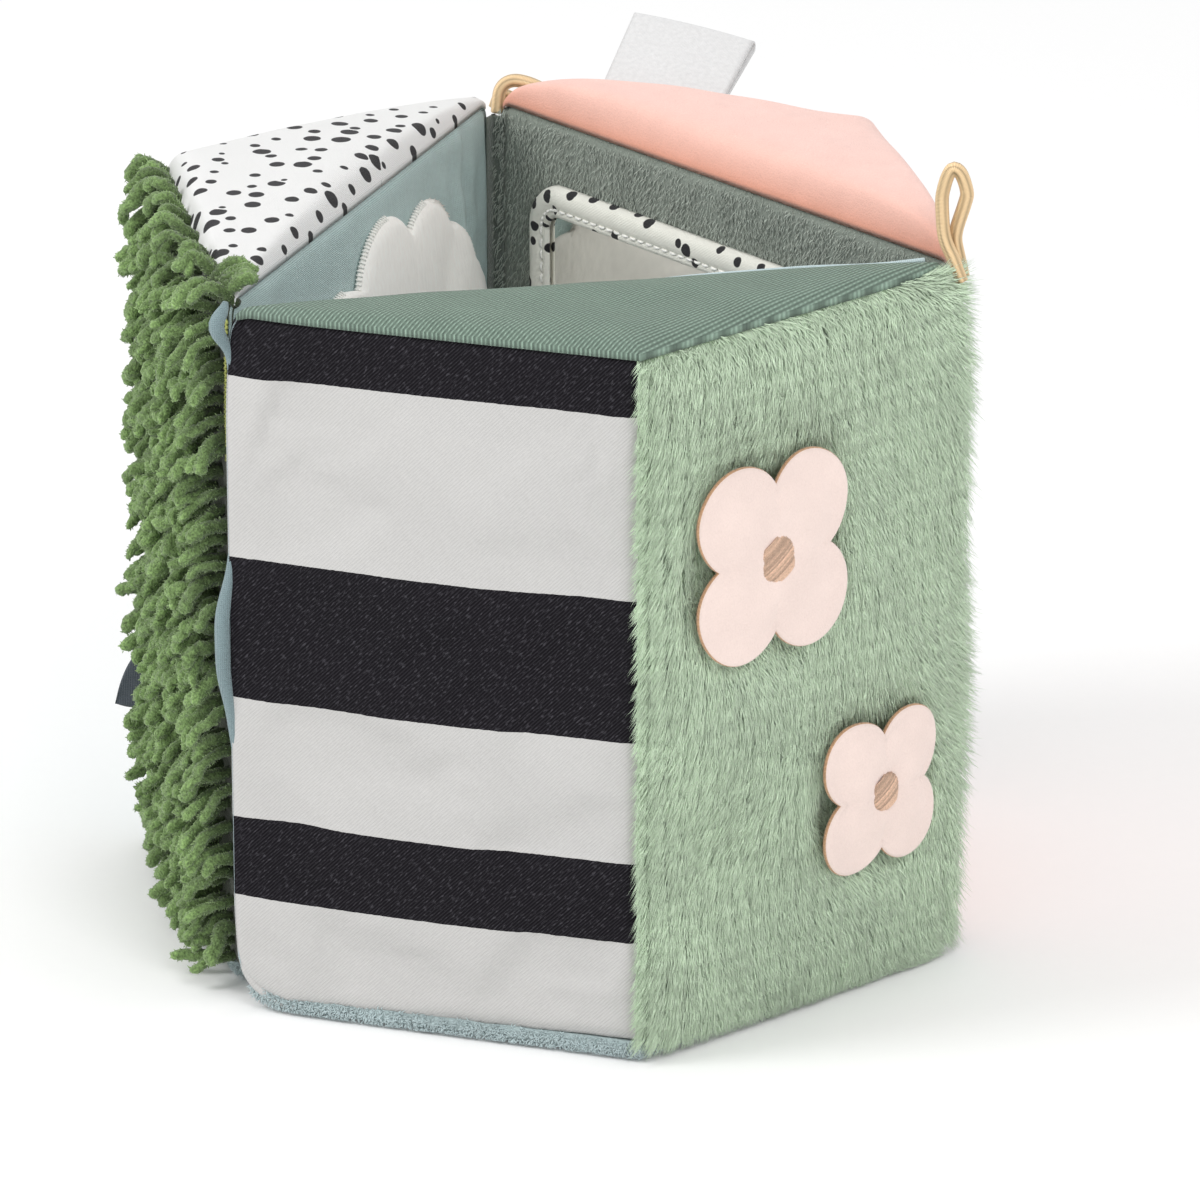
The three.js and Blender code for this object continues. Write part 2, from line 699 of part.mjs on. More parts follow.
// Grass wedge
const grassWedge = new THREE.Group();
grassWedge.add(
  named('grass_foam_core', foamCore(grassCrown), foam),
  named('grass_top_panel', topPanel(grassCrown), cotton),
  named('grass_base_panel', basePanel(), fleeceBlue),
  named('grass_inner_panel', sidePanel(grassCrown, 'inner'), dustyTeal),
  named('cloud_applique', cloudApplique(), fleeceWhite),
  named('chenille_grass', chenilleGrass(), chenille),
  named('grass_outer_back_panel', sidePanel(grassCrown, 'right'), dustyTeal),
  named('leaf_tab', leafTab(), slate),
);

// Striped wedge
const stripeWedge = new THREE.Group();
stripeWedge.add(
  named('stripe_foam_core', foamCore(stripeCrown), foam),
  named('stripe_top_panel', topPanel(stripeCrown), twillGreen),
  named('stripe_base_panel', basePanel(), fleeceBlue),
  named('stripe_inner_panel', sidePanel(stripeCrown, 'inner'), paleBlue),
  named('stripe_panel', sidePanel(stripeCrown, 'right'), stripes),
  named('fur_panel', sidePanel(stripeCrown, 'left', furPile), fur),
  named('flower_large', flower(largeFlower), felt),
  named('flower_small', flower(smallFlower), felt),
  named('flower_large_centre', flowerCentre(largeFlower), thread),
  named('flower_small_centre', flowerCentre(smallFlower), thread),
);

// Ring: the outer wedges turn on the hinge axes at the mirror wedge's tips
const ring = new THREE.Group();
const grassPivot = new THREE.Group();
const stripePivot = new THREE.Group();
grassPivot.position.x = -halfInner;
grassPivot.rotation.z = Math.PI - THREE.MathUtils.degToRad(grassAngle);
grassWedge.position.x = -halfInner;
stripePivot.position.x = halfInner;
stripePivot.rotation.z = THREE.MathUtils.degToRad(stripeAngle) - Math.PI;
stripeWedge.position.x = halfInner;
grassPivot.add(grassWedge);
stripePivot.add(stripeWedge);
ring.add(mirrorWedge, grassPivot, stripePivot);
ring.position.y = -datumDepth;

export default ring;
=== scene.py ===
"""Soft activity mirror: three foam wedges in fabric covers, hinged in a ring round a mirror well."""
import functools
import math

import bpy
import numpy as np
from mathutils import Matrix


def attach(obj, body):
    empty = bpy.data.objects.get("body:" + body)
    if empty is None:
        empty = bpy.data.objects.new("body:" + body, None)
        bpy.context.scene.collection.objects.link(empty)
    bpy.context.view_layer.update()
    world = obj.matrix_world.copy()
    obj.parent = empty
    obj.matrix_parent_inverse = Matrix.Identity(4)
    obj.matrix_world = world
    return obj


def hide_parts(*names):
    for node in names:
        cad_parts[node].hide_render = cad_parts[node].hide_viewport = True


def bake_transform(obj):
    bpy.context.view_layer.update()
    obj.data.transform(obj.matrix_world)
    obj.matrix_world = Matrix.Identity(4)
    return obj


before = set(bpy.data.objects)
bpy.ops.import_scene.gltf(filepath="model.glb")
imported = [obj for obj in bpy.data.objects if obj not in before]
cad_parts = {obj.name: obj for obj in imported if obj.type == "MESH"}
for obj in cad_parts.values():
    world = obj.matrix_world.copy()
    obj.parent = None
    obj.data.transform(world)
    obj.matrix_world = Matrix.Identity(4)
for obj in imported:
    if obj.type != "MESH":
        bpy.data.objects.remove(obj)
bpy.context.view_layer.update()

# Sizes in millimetres, the same as in the CAD source
MM = 0.001
WEDGE_HEIGHT = 165.0
INNER_WIDTH = 167.0
WEDGE_DEPTH = 49.0
COVER = 1.6
BASE_THICKNESS = 4.0
CLEARANCE = 0.3
TIP_CUT = 1.6
TOP_CORNER = 6.0
BASE_CORNER = 12.0
FOOT_CORNER = 11.0
FOOT_LAP = 3.4
TIP_PULL = 2.2
TIP_PULL_REACH = 30.0
DATUM_DEPTH = 16.0
HALF = INNER_WIDTH / 2
TIP_ANGLE = math.atan2(WEDGE_DEPTH, HALF)
SIDE_FOOT = BASE_THICKNESS + 2 * CLEARANCE
SIDE_TOP = WEDGE_HEIGHT - COVER - CLEARANCE
SIDE_LENGTH = math.hypot(HALF, WEDGE_DEPTH)
DOWN = np.array([0.0, 0.0, -1.0])

# How far each wedge is turned about its hinge, in degrees, and where along the mirror wedge that hinge is
WEDGES = {
    "mirror": {"body": "mirror_wedge", "turn": 0.0, "hinge": 0.0},
    "grass": {"body": "grass_wedge", "turn": 121.35, "hinge": -HALF},
    "stripe": {"body": "striped_wedge", "turn": -117.17, "hinge": HALF},
}
# A wedge's faces, with the side of its middle that each is on, and the stations at their ends
SIDES = {"inner": 0, "right": 1, "left": -1}
SIDE_ENDS = {"inner": (-1.0, 1.0), "right": (1.0, 0.0), "left": (0.0, -1.0)}

# Camera that took the photograph, in degrees and metres, and the studio's lamps
VIEW_AZIMUTH = 50.76
VIEW_ELEVATION = 20.18
VIEW_DISTANCE = 1.8329
VIEW_TARGET = np.array([0.00605, -0.05613, 0.07159])
VIEW_LENS = 240.0
SENSOR_WIDTH = 36.0
CLIP_START = 0.1
LAMP_TARGET = (0.0, -0.06, 0.08)
LAMPS = {
    "key": {"location": (-0.5, -1.2, 1.2), "size": 0.6, "watts": 9.0},
    "side": {"location": (1.35, -0.48, 1.35), "size": 0.8, "watts": 7.2},
}
WORLD_LIGHT = 0.82
FLOOR_GLOW = 0.03
FLOOR_WHITE = 0.97
FLOOR_HALF = 4.0
FLOOR_DROP = 0.0003


# Paths and meshes

def unit(v):
    return v / np.maximum(np.linalg.norm(v, axis=-1, keepdims=True), 1e-12)


def run_along(path):
    """Distance along a path at each of its points."""
    return np.r_[0, np.cumsum(np.linalg.norm(np.diff(path, axis=0), axis=1))]


def spline(points, steps):
    """Smooth curve through points, evenly stepped."""
    p = np.array(points, float)
    p = np.vstack([2 * p[0] - p[1], p, 2 * p[-1] - p[-2]])
    t = np.linspace(0, 1, 24, endpoint=False)[:, None]
    fine = []
    for k in range(1, len(p) - 2):
        a, b, c, d = p[k - 1:k + 3]
        fine.append(0.5 * (2 * b + (c - a) * t + (2 * a - 5 * b + 4 * c - d) * t**2
                           + (3 * b - a - 3 * c + d) * t**3))
    fine = np.vstack(fine + [p[-2:-1]])
    lengths = run_along(fine)
    marks = np.linspace(0, lengths[-1], steps + 1)
    return np.stack([np.interp(marks, lengths, fine[:, k]) for k in range(3)], axis=1)


def to_row(points, wedge):
    """Moves points from a wedge's own frame into the row frame."""
    turn = math.radians(WEDGES[wedge]["turn"])
    hinge = WEDGES[wedge]["hinge"]
    p = np.array(points, float)
    x, y = p[..., 0] + hinge, p[..., 1].copy()
    p[..., 0] = x * math.cos(turn) - y * math.sin(turn) + hinge
    p[..., 1] = x * math.sin(turn) + y * math.cos(turn) - DATUM_DEPTH
    return p


def placed(name, data, location=(0, 0, 0)):
    """A new object in the scene."""
    obj = bpy.data.objects.new(name, data)
    obj.location = location
    bpy.context.collection.objects.link(obj)
    return obj


def piece(name, wedge, points, faces, materials, slot, node=None, values=None, indices=None, in_row=False):
    """A mesh object that rides on a wedge, from points in the wedge's own frame or in the row frame.

    faces are arrays of triangles or quads, values go to the points and indices pick the faces' materials."""
    points = points if in_row else to_row(points, wedge)
    mesh = bpy.data.meshes.new(name)
    faces = [np.asarray(f, np.int32) for f in faces]
    corners = np.concatenate([f.ravel() for f in faces])
    sizes = np.concatenate([np.full(len(f), f.shape[1], np.int32) for f in faces])
    mesh.vertices.add(len(points))
    mesh.vertices.foreach_set("co", (np.asarray(points, np.float32) * MM).ravel())
    mesh.loops.add(len(corners))
    mesh.loops.foreach_set("vertex_index", corners)
    mesh.polygons.add(len(sizes))
    mesh.polygons.foreach_set("loop_start", np.r_[0, np.cumsum(sizes)[:-1]].astype(np.int32))
    mesh.polygons.foreach_set("loop_total", sizes)
    mesh.polygons.foreach_set("use_smooth", np.ones(len(sizes), bool))
    for key, value in (values or {}).items():
        value = np.asarray(value, np.float32)
        kind, field = ("FLOAT", "value") if value.ndim == 1 else ("FLOAT_VECTOR", "vector")
        mesh.attributes.new(key, kind, "POINT").data.foreach_set(field, value.ravel())
    for material in materials if isinstance(materials, list) else [materials]:
        mesh.materials.append(material)
    if indices is not None:
        mesh.polygons.foreach_set("material_index", np.asarray(indices, np.int32))
    mesh.update(calc_edges=True)
    mesh.validate()
    obj = placed(name, mesh)
    if wedge:
        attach(obj, WEDGES[wedge]["body"])
    if node:
        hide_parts(node)
    return obj


def weave_values(along, up, layers=1):
    """Cloth coordinates of a sheet's points, once for each of its layers."""
    weave = np.stack(np.broadcast_arrays(along, up, 0.0), axis=-1).reshape(-1, 3) * MM
    return {"weave": np.tile(weave, (layers, 1))}


def grid_faces(columns, rows, first=0, flip=False):
    """Quads of a grid of (rows + 1) by (columns + 1) points."""
    c, r = np.meshgrid(np.arange(columns), np.arange(rows))
    a = (first + r * (columns + 1) + c).ravel()
    quads = np.stack([a, a + 1, a + columns + 2, a + columns + 1], axis=1)
    return quads[:, ::-1] if flip else quads


def shell(layers):
    """Closed body between two grids, whose rim passes through the rims of any grids between them."""
    rows, columns = layers[0].shape[0] - 1, layers[0].shape[1] - 1
    count = (rows + 1) * (columns + 1)
    index = np.arange(count).reshape(rows + 1, columns + 1)
    rim = np.concatenate([index[0, :-1], index[:-1, -1], index[-1, :0:-1], index[:0:-1, 0]])
    points = [layers[0].reshape(-1, 3), layers[-1].reshape(-1, 3)]
    rings, start = [rim], 2 * count
    for layer in layers[1:-1]:
        points.append(layer.reshape(-1, 3)[rim])
        rings.append(np.arange(start, start + len(rim)))
        start += len(rim)
    rings.append(rim + count)
    faces = [grid_faces(columns, rows), grid_faces(columns, rows, count, True)]
    for a, b in zip(rings, rings[1:]):
        faces.append(np.stack([a, b, np.roll(b, -1), np.roll(a, -1)], axis=1))
    return np.concatenate(points), np.concatenate(faces)


def sheet_piece(name, wedge, layers, *details, **more):
    """A piece that is a closed body between grids."""
    points, quads = shell(layers)
    return piece(name, wedge, points, [quads], *details, **more)


def ring_faces(rings, size, flip=False):
    """Quads between rings of points, and triangles to a first and a last point that follow the rings."""
    a = np.arange(rings * size).reshape(rings, size)
    b = np.roll(a, -1, axis=1)
    quads = np.stack([a[:-1], b[:-1], b[1:], a[1:]], -1).reshape(-1, 4)
    first = np.full(size, rings * size)
    ends = np.concatenate([np.stack([b[0], a[0], first], 1), np.stack([a[-1], b[-1], first + 1], 1)])
    return [quads[:, [0, 3, 2, 1]], ends[:, [1, 0, 2]]] if flip else [quads, ends]


def tube(path, radius, sides, section=1.0):
    """Points and faces of a tube. radius is one number or one per point; section scales it round a ring."""
    path = np.asarray(path, float)
    count = len(path)
    way = unit(np.gradient(path, axis=0))
    side = np.cross(way[0], (0, 0, 1) if abs(way[0][2]) < 0.9 else (1, 0, 0))
    e1 = np.empty_like(way)
    for k, w in enumerate(way):
        side = unit(side - w * (side @ w))
        e1[k] = side
    e2 = np.cross(way, e1)
    angle = np.linspace(0, 2 * math.pi, sides, endpoint=False)[:, None]
    r = np.broadcast_to(np.asarray(radius, float), (count,))[:, None] * np.ones((1, sides)) * section
    ring = path[:, None] + r[..., None] * (np.cos(angle) * e1[:, None] + np.sin(angle) * e2[:, None])
    points = np.concatenate([ring.reshape(-1, 3), path[:1], path[-1:]])
    return points, ring_faces(count, sides)


def join(tubes):
    """Joins tubes, each given by its points and its quads and triangles, into one."""
    starts = np.cumsum([0] + [len(points) for points, _ in tubes])
    faces = [np.concatenate([f[k] + start for (_, f), start in zip(tubes, starts)]) for k in range(2)]
    return np.concatenate([points for points, _ in tubes]), faces


def stitch_piece(name, wedge, paths, radius, *details):
    """A piece of thread laid along several paths."""
    points, faces = join([tube(path, radius, 6) for path in paths])
    piece(name, wedge, points, faces, *details)


def ripple(x, y, seed, wavelength, count=6):
    """Smooth random field from about -1 to 1, as a sum of waves of about one wavelength."""
    local = np.random.default_rng(seed)
    total = np.zeros(np.broadcast(x, y).shape)
    for _ in range(count):
        turn = local.uniform(0, 2 * math.pi)
        k = 2 * math.pi / (wavelength * local.uniform(0.7, 1.5))
        total += np.sin(k * (x * math.cos(turn) + y * math.sin(turn)) + local.uniform(0, 2 * math.pi))
    return total / math.sqrt(count * 2)


def bell(x, middle, width):
    return np.exp(-(((x - middle) / width) ** 2))


# Wedge surfaces, in each wedge's own frame: X along its inner face, Y to its obtuse edge, Z up

def softened(p, foot=BASE_CORNER):
    """Rounds the tips off and draws them in towards the top and the base. foot is the radius at the base."""
    upper = p[..., 2] > WEDGE_HEIGHT / 2
    radius = np.where(upper, TOP_CORNER, foot)
    from_tip = HALF - np.abs(p[..., 0])
    from_end = np.where(upper, WEDGE_HEIGHT - p[..., 2], p[..., 2])
    across = 1 - from_tip / radius
    along = 1 - from_end / radius
    corner = (across > 0) & (along > 0)
    shrink = np.maximum(across, along) / np.maximum(np.hypot(across, along), 1e-9)
    from_tip = np.where(corner, radius * (1 - across * shrink), from_tip)
    from_end = np.where(corner, radius * (1 - along * shrink), from_end)
    fade = lambda d: np.maximum(0, 1 - np.maximum(0, d) / TIP_PULL_REACH) ** 2
    from_tip = from_tip + TIP_PULL * fade(from_tip) * fade(from_end)
    out = p.copy()
    out[..., 0] = np.sign(p[..., 0]) * (HALF - from_tip)
    out[..., 2] = np.where(upper, WEDGE_HEIGHT - from_end, from_end)
    return out


def half_width(depth):
    return HALF - depth / math.tan(TIP_ANGLE / 2)


def outer_line(x, depth):
    return depth + (half_width(depth) - np.abs(x)) * math.tan(TIP_ANGLE)


def face_normal(face):
    if face == "inner":
        return np.array([0.0, -1.0, 0.0])
    return np.array([SIDES[face] * math.sin(TIP_ANGLE), math.cos(TIP_ANGLE), 0.0])


def face_along(face):
    """Direction along a face, counter-clockwise seen from above."""
    return np.cross((0.0, 0.0, 1.0), face_normal(face))


def face_middle(face):
    side = SIDES[face]
    return np.array([side * HALF / 2, abs(side) * WEDGE_DEPTH / 2, 0.0])


def face_start(face):
    """How far from the wedge's middle a face starts."""
    return abs(SIDES[face]) * CLEARANCE / 2 / math.cos(TIP_ANGLE)


def foot_height(station):
    """Lower edge of a side: it laps further over the base towards a tip and rounds off there."""
    from_tip = (1 - np.abs(station)) * (HALF - TIP_CUT)
    corner = np.maximum(0, FOOT_CORNER - from_tip)
    return SIDE_FOOT - FOOT_LAP * np.abs(station) ** 1.5 + FOOT_CORNER - np.sqrt(FOOT_CORNER**2 - corner**2)


def surface_points(x, y, z):
    return np.stack(np.broadcast_arrays(x, y, z), axis=-1).astype(float)


def side_surface(face, station, rise, out=0.0, depth=0.0):
    """Points on a side. station runs from -1 to 1 across it, rise from 0 to 1 and out along the normal."""
    start = face_start(face)
    x = (SIDES[face] or np.sign(station)) * (start + (half_width(depth) - TIP_CUT - start) * np.abs(station))
    y = depth if face == "inner" else outer_line(x, depth)
    foot = foot_height(station)
    p = surface_points(x, y, foot + (SIDE_TOP - foot) * rise)
    return softened(p + np.asarray(out)[..., None] * face_normal(face), 0.01)


def face_to_uv(face, along, height):
    """Station and rise of a spot on a face, given along it from its middle and above the floor."""
    x = face_middle(face)[0] + np.asarray(along) * face_along(face)[0]
    start = face_start(face)
    station = np.clip((np.abs(x) - start) / (HALF - TIP_CUT - start), 0, 1)
    rise = np.clip((height - SIDE_FOOT) / (SIDE_TOP - SIDE_FOOT), 0, 1)
    return station * (SIDES[face] or np.sign(x)), rise


def along_and_height(face, station, rise):
    p = side_surface(face, station, rise)
    return (p - face_middle(face)) @ face_along(face), p[..., 2]


def top_surface(station, rise, out=0.0, depth=0.0):
    """Points on a top panel: rise runs from the inner face to the outer ones."""
    x = station * (HALF - TIP_CUT)
    return softened(surface_points(x, outer_line(x, 0.0) * rise, WEDGE_HEIGHT - depth + np.asarray(out)))


def base_surface(station, rise, height, inset):
    x = station * (half_width(inset) - TIP_CUT)
    return softened(surface_points(x, inset + (outer_line(x, inset) - inset) * rise, height))


# Materials

def rgb(code):
    """Linear colour of a hex code."""
    values = [int(code[k:k + 2], 16) / 255 for k in (1, 3, 5)]
    linear = [v / 12.92 if v <= 0.04045 else ((v + 0.055) / 1.055) ** 2.4 for v in values]
    return (*linear, 1.0)


class Nodes:
    """Short ways to add shader nodes to a tree."""

    def __init__(self, tree):
        self.tree = tree

    def fill(self, socket, value):
        if isinstance(value, bpy.types.NodeSocket):
            self.tree.links.new(value, socket)
        else:
            socket.default_value = value

    def node(self, kind, inputs=None, **settings):
        made = self.tree.nodes.new("ShaderNode" + kind)
        for key, value in settings.items():
            setattr(made, key, value)
        for key, value in (inputs or {}).items():
            self.fill(made.inputs[key], value)
        return made

    def math(self, operation, *values):
        """Two or more values added or multiplied, or one value's function."""
        if len(values) == 1:
            return self.node("Math", {0: values[0]}, operation=operation).outputs[0]
        pair = lambda a, b: self.node("Math", {0: a, 1: b}, operation=operation).outputs[0]
        return functools.reduce(pair, values)

    def span(self, value, low, high, new_low, new_high):
        inputs = {"Value": value, "From Min": low, "From Max": high, "To Min": new_low, "To Max": new_high}
        return self.node("MapRange", inputs).outputs["Result"]


class Finish(Nodes):
    """A procedural material round one Principled shader."""

    def __init__(self, name, roughness=0.9, sheen=0.0, metallic=0.0, specular=0.3):
        self.material = bpy.data.materials.new(name)
        self.material.use_nodes = True
        super().__init__(self.material.node_tree)
        self.shader = self.tree.nodes["Principled BSDF"]
        settings = {"Roughness": roughness, "Metallic": metallic, "Specular IOR Level": specular,
                    "Sheen Weight": sheen, "Sheen Roughness": 0.5}
        for key, value in settings.items():
            self.set(key, value)

    def set(self, socket, value):
        self.fill(self.shader.inputs[socket], value)

    def value(self, name):
        return self.node("Attribute", attribute_name=name).outputs["Fac"]

    def weave(self):
        """Cloth coordinates in metres: along the panel, up it."""
        return self.node("Attribute", attribute_name="weave").outputs["Vector"]

    def place(self):
        return self.node("TexCoord").outputs["Object"]

    def noise(self, vector, scale, detail=2.0, stretch=None):
        if stretch:
            vector = self.node("Mapping", {"Vector": vector, "Scale": stretch}).outputs["Vector"]
        return self.node("TexNoise", {"Vector": vector, "Scale": scale, "Detail": detail}).outputs["Fac"]

    def vary(self, noise, low, high):
        """Spreads a noise's usual values from low to high."""
        return self.span(noise, 0.3, 0.7, low, high)

    def tones(self, spread):
        """Shade of each fibre or strand."""
        return self.span(self.value("tone"), 0.0, 1.0, 1 - spread, 1 + spread)

    def mix(self, factor, a, b, blend="MIX"):
        made = self.node("Mix", {0: factor, 6: a, 7: b}, data_type="RGBA", blend_type=blend)
        return made.outputs[2]

    def shaded(self, colour, factor):
        """Colour times a grey factor."""
        grey = self.node("CombineColor", {0: factor, 1: factor, 2: factor}).outputs[0]
        return self.mix(1.0, colour, grey, "MULTIPLY")

    def done(self, colour, height=None, distance=0.0, strength=1.0):
        """The material, with its colour and a bump."""
        self.set("Base Color", colour)
        if height is not None:
            made = self.node("Bump", {"Height": height, "Distance": distance, "Strength": strength})
            self.set("Normal", made.outputs["Normal"])
        return self.material

    def turned(self, degrees):
        """Cloth coordinates turned for a twill's diagonal ribs."""
        inputs = {"Vector": self.weave(), "Rotation": (0, 0, math.radians(degrees))}
        return self.node("Mapping", inputs).outputs["Vector"]

    def wave(self, vector, period, distortion=0.0, direction="X"):
        """Ribs from 0 to 1, a period in millimetres apart."""
        inputs = {"Vector": vector, "Scale": 2 * math.pi / (20 * period * MM), "Distortion": distortion}
        return self.node("TexWave", inputs, bands_direction=direction).outputs["Fac"]

    def threads(self, period):
        """Height of a plain weave's crossing threads, from 0 to 2."""
        return self.math("ADD", *(self.wave(self.weave(), period, 1.0, way) for way in "XY"))


def noise_finish(name, colour, fine, broad=None, bump=0.0, strength=1.0, streak=None, shades=0.0, seam=None,
                 **look):
    """Shaded by a fine and a broad noise, each given by its scale, detail, lowest and highest shade.

    shades is how much strands differ, and seam the deeper colour of a velour where it bends into a seam, a
    painted shade."""
    f = Finish(name, **look)
    grain = f.noise(f.place(), *fine[:2], streak)
    light = f.vary(grain, *fine[2:])
    if broad:
        light = f.math("ADD", light, f.vary(f.noise(f.place(), *broad[:2]), *broad[2:]))
    if shades:
        light = f.math("MULTIPLY", light, f.tones(shades))
    # Painted shade: towards a seam the colour turns to the deeper seam colour.
    colour = f.mix(f.value("seam"), rgb(colour), rgb(seam)) if seam else rgb(colour)
    return f.done(f.shaded(colour, light), grain, bump, strength)


def fleece_finish(name, colour, size=1.1, curl=1.0, streak=None):
    """Brushed fleece: small soft curls."""
    fine = (1 / (size * MM), 5.0, 1 - 0.13 * curl, 1 + 0.1 * curl)
    broad = (1 / (9 * MM), 3.0, -0.06 * curl, 0.06 * curl)
    return noise_finish(name, colour, fine, broad, 0.0006 * curl, streak=streak, roughness=0.95, sheen=0.3)


def felt_finish(name, colour, uneven):
    fine = (2200.0, 3.0, 1 - uneven, 1 + uneven)
    return noise_finish(name, colour, fine, (110.0, 3.0, -0.03, 0.03), 0.00015, sheen=0.3)


def thread_finish(name, colour, metallic=0.0, shades=0.0):
    """Spun or metallic thread, whose strands differ by shades."""
    return noise_finish(name, colour, (2600.0, 3.0, 0.78, 1.18), None, 0.000035, shades=shades, roughness=0.5,
                        metallic=metallic, sheen=0.1, specular=0.5)


def pile_finish(name, colour, root, spread, patch, patch_size=14.0, streak=None, nap=0.0):
    """Fibres with a painted shade towards the root, each of its own tone, and with painted light and shade in
    patches where the nap catches the light.

    nap is the height of a chenille's lumps, which are also painted lighter where they stand out and darker
    between them."""
    f = Finish(name, roughness=0.75, sheen=0.25, specular=0.2)
    # Painted shade: a fibre's colour falls to root times itself at its root.
    light = [f.span(f.value("along"), 0.0, 1.0, root, 1.04), f.tones(spread)]
    light.append(f.vary(f.noise(f.place(), 1 / (patch_size * MM), 3.0, streak), 1 - patch, 1 + patch))
    lumps = None
    if nap:
        lumps = f.noise(f.place(), 1 / (0.5 * MM), 3.0)
        light.append(f.vary(lumps, 0.5, 1.45))
    return f.done(f.shaded(rgb(colour), f.math("MULTIPLY", *light)), lumps, nap * MM)


def cloth_finish(name, colour, thread=0.45, ribs=0.00012, variation=0.06, rough=0.9):
    """Plain woven cloth with soft shading, uneven dye and fine threads."""
    f = Finish(name, roughness=rough, sheen=0.15)
    threads = f.threads(thread)
    slub = f.noise(f.weave(), 900.0, 4.0)
    dye = f.noise(f.weave(), 60.0, 3.0)
    light = f.math("ADD", f.vary(dye, 1 - variation, 1 + variation), f.vary(slub, -0.05, 0.05),
                   f.span(threads, 0.0, 2.0, -0.05, 0.05))
    height = f.math("ADD", threads, f.math("MULTIPLY", slub, 1.5))
    return f.done(f.shaded(rgb(colour), light), height, ribs)


def stripe_finish():
    """Striped twill: dyed bands across, fine diagonal ribs, pale flecks in the black."""
    f = Finish("striped_twill", roughness=0.95, specular=0.1)
    height = f.node("SeparateXYZ", {"Vector": f.weave()}).outputs["Y"]
    wobble = f.noise(f.weave(), 700.0, 2.0)
    height = f.math("ADD", height, f.span(wobble, 0.0, 1.0, -0.00015, 0.00015))
    ramp = f.node("ValToRGB", {"Fac": f.math("DIVIDE", height, WEDGE_HEIGHT * MM)})
    ramp.color_ramp.interpolation = "CONSTANT"
    stops = ramp.color_ramp.elements
    white, black = (1, 1, 1, 1), (0, 0, 0, 1)
    stops[0].position, stops[0].color = 0.0, white
    stops[1].position, stops[1].color = STRIPE_MARKS[0] / WEDGE_HEIGHT, black
    for k, mark in enumerate(STRIPE_MARKS[1:]):
        stops.new(mark / WEDGE_HEIGHT).color = black if k % 2 else white
    ribs = f.wave(f.turned(45.0), 0.62)
    flecks = f.noise(f.turned(45.0), 900.0, 2.0, (2.4, 0.8, 1.0))
    dark = f.mix(f.span(flecks, 0.56, 0.74, 0.0, 0.3), rgb("#161418"), rgb("#716f76"))
    dark = f.mix(f.span(ribs, 0.4, 1.0, 0.0, 0.07), dark, rgb("#8a8890"))
    dye = f.noise(f.weave(), 45.0, 3.0)
    light = f.math("ADD", f.vary(dye, 0.975, 1.015), f.span(ribs, 0.0, 1.0, -0.04, 0.03),
                   f.vary(flecks, -0.03, 0.03))
    return f.done(f.mix(ramp.outputs["Color"], dark, f.shaded(rgb("#c5c4c2"), light)), ribs, 0.00006)


def twill_finish():
    """Coarse green twill: diagonal ribs broken into short floats, which are painted lighter and the gaps
    between them darker, as light and shade on the weave's relief.
    """
    f = Finish("green_twill", roughness=0.85, sheen=0.08)
    floats = f.span(f.wave(f.turned(-20.0), 1.4), 0.0, 1.0, 0.45, 1.0)
    weave = f.math("MULTIPLY", f.wave(f.turned(52.0), 0.95), floats)
    dye = f.vary(f.noise(f.weave(), 70.0, 3.0), -0.05, 0.05)
    yarn = f.vary(f.noise(f.weave(), 1400.0, 2.0), -0.1, 0.1)
    # Painted light and shade: the weave's relief lightens the floats and darkens between them.
    light = f.math("ADD", f.span(weave, 0.0, 1.0, 0.52, 1.5), dye, yarn)
    return f.done(f.shaded(rgb("#809587"), light), weave, 0.0004)


def dotted_finish(name, ground, cell, smallest, largest):
    """Woven cotton printed with uneven black dots."""
    f = Finish(name, roughness=0.85, sheen=0.1)
    wander = f.node("TexNoise", {"Vector": f.weave(), "Scale": 420.0, "Detail": 1.0}).outputs["Color"]
    shift = f.node("VectorMath", {0: wander, 1: (0.0005, 0.0005, 0.0)}, operation="MULTIPLY").outputs[0]
    vector = f.node("VectorMath", {0: f.weave(), 1: shift}, operation="ADD").outputs[0]
    inputs = {"Vector": vector, "Scale": 1 / (cell * MM), "Randomness": 0.8}
    spots = f.node("TexVoronoi", inputs, voronoi_dimensions="2D")
    pick = f.node("SeparateColor", {0: spots.outputs["Color"]}).outputs[0]
    radius = f.span(pick, 0.0, 1.0, smallest / cell, largest / cell)
    ink = f.span(f.math("SUBTRACT", spots.outputs["Distance"], radius), -0.012, 0.012, 1.0, 0.0)
    threads = f.threads(0.35)
    cotton = f.shaded(rgb(ground), f.span(threads, 0.0, 2.0, 0.97, 1.02))
    return f.done(f.mix(ink, cotton, rgb("#252427")), threads, 0.00008)


def elastic_finish():
    """Gold elastic: fine windings of metallic thread across the cord, with painted light and shade along the
    windings and painted shade in the grooves between strands.
    """
    f = Finish("gold_elastic", roughness=0.38, metallic=0.3, specular=0.5)
    wave = f.math("SINE", f.math("MULTIPLY", f.value("along"), 2 * math.pi))
    strands = f.span(f.value("tone"), 0.0, 1.0, 0.45, 1.1)
    light = f.math("MULTIPLY", f.span(wave, -1.0, 1.0, 0.92, 1.06), strands)
    return f.done(f.shaded(rgb("#eccda0"), light), wave, 0.00004)


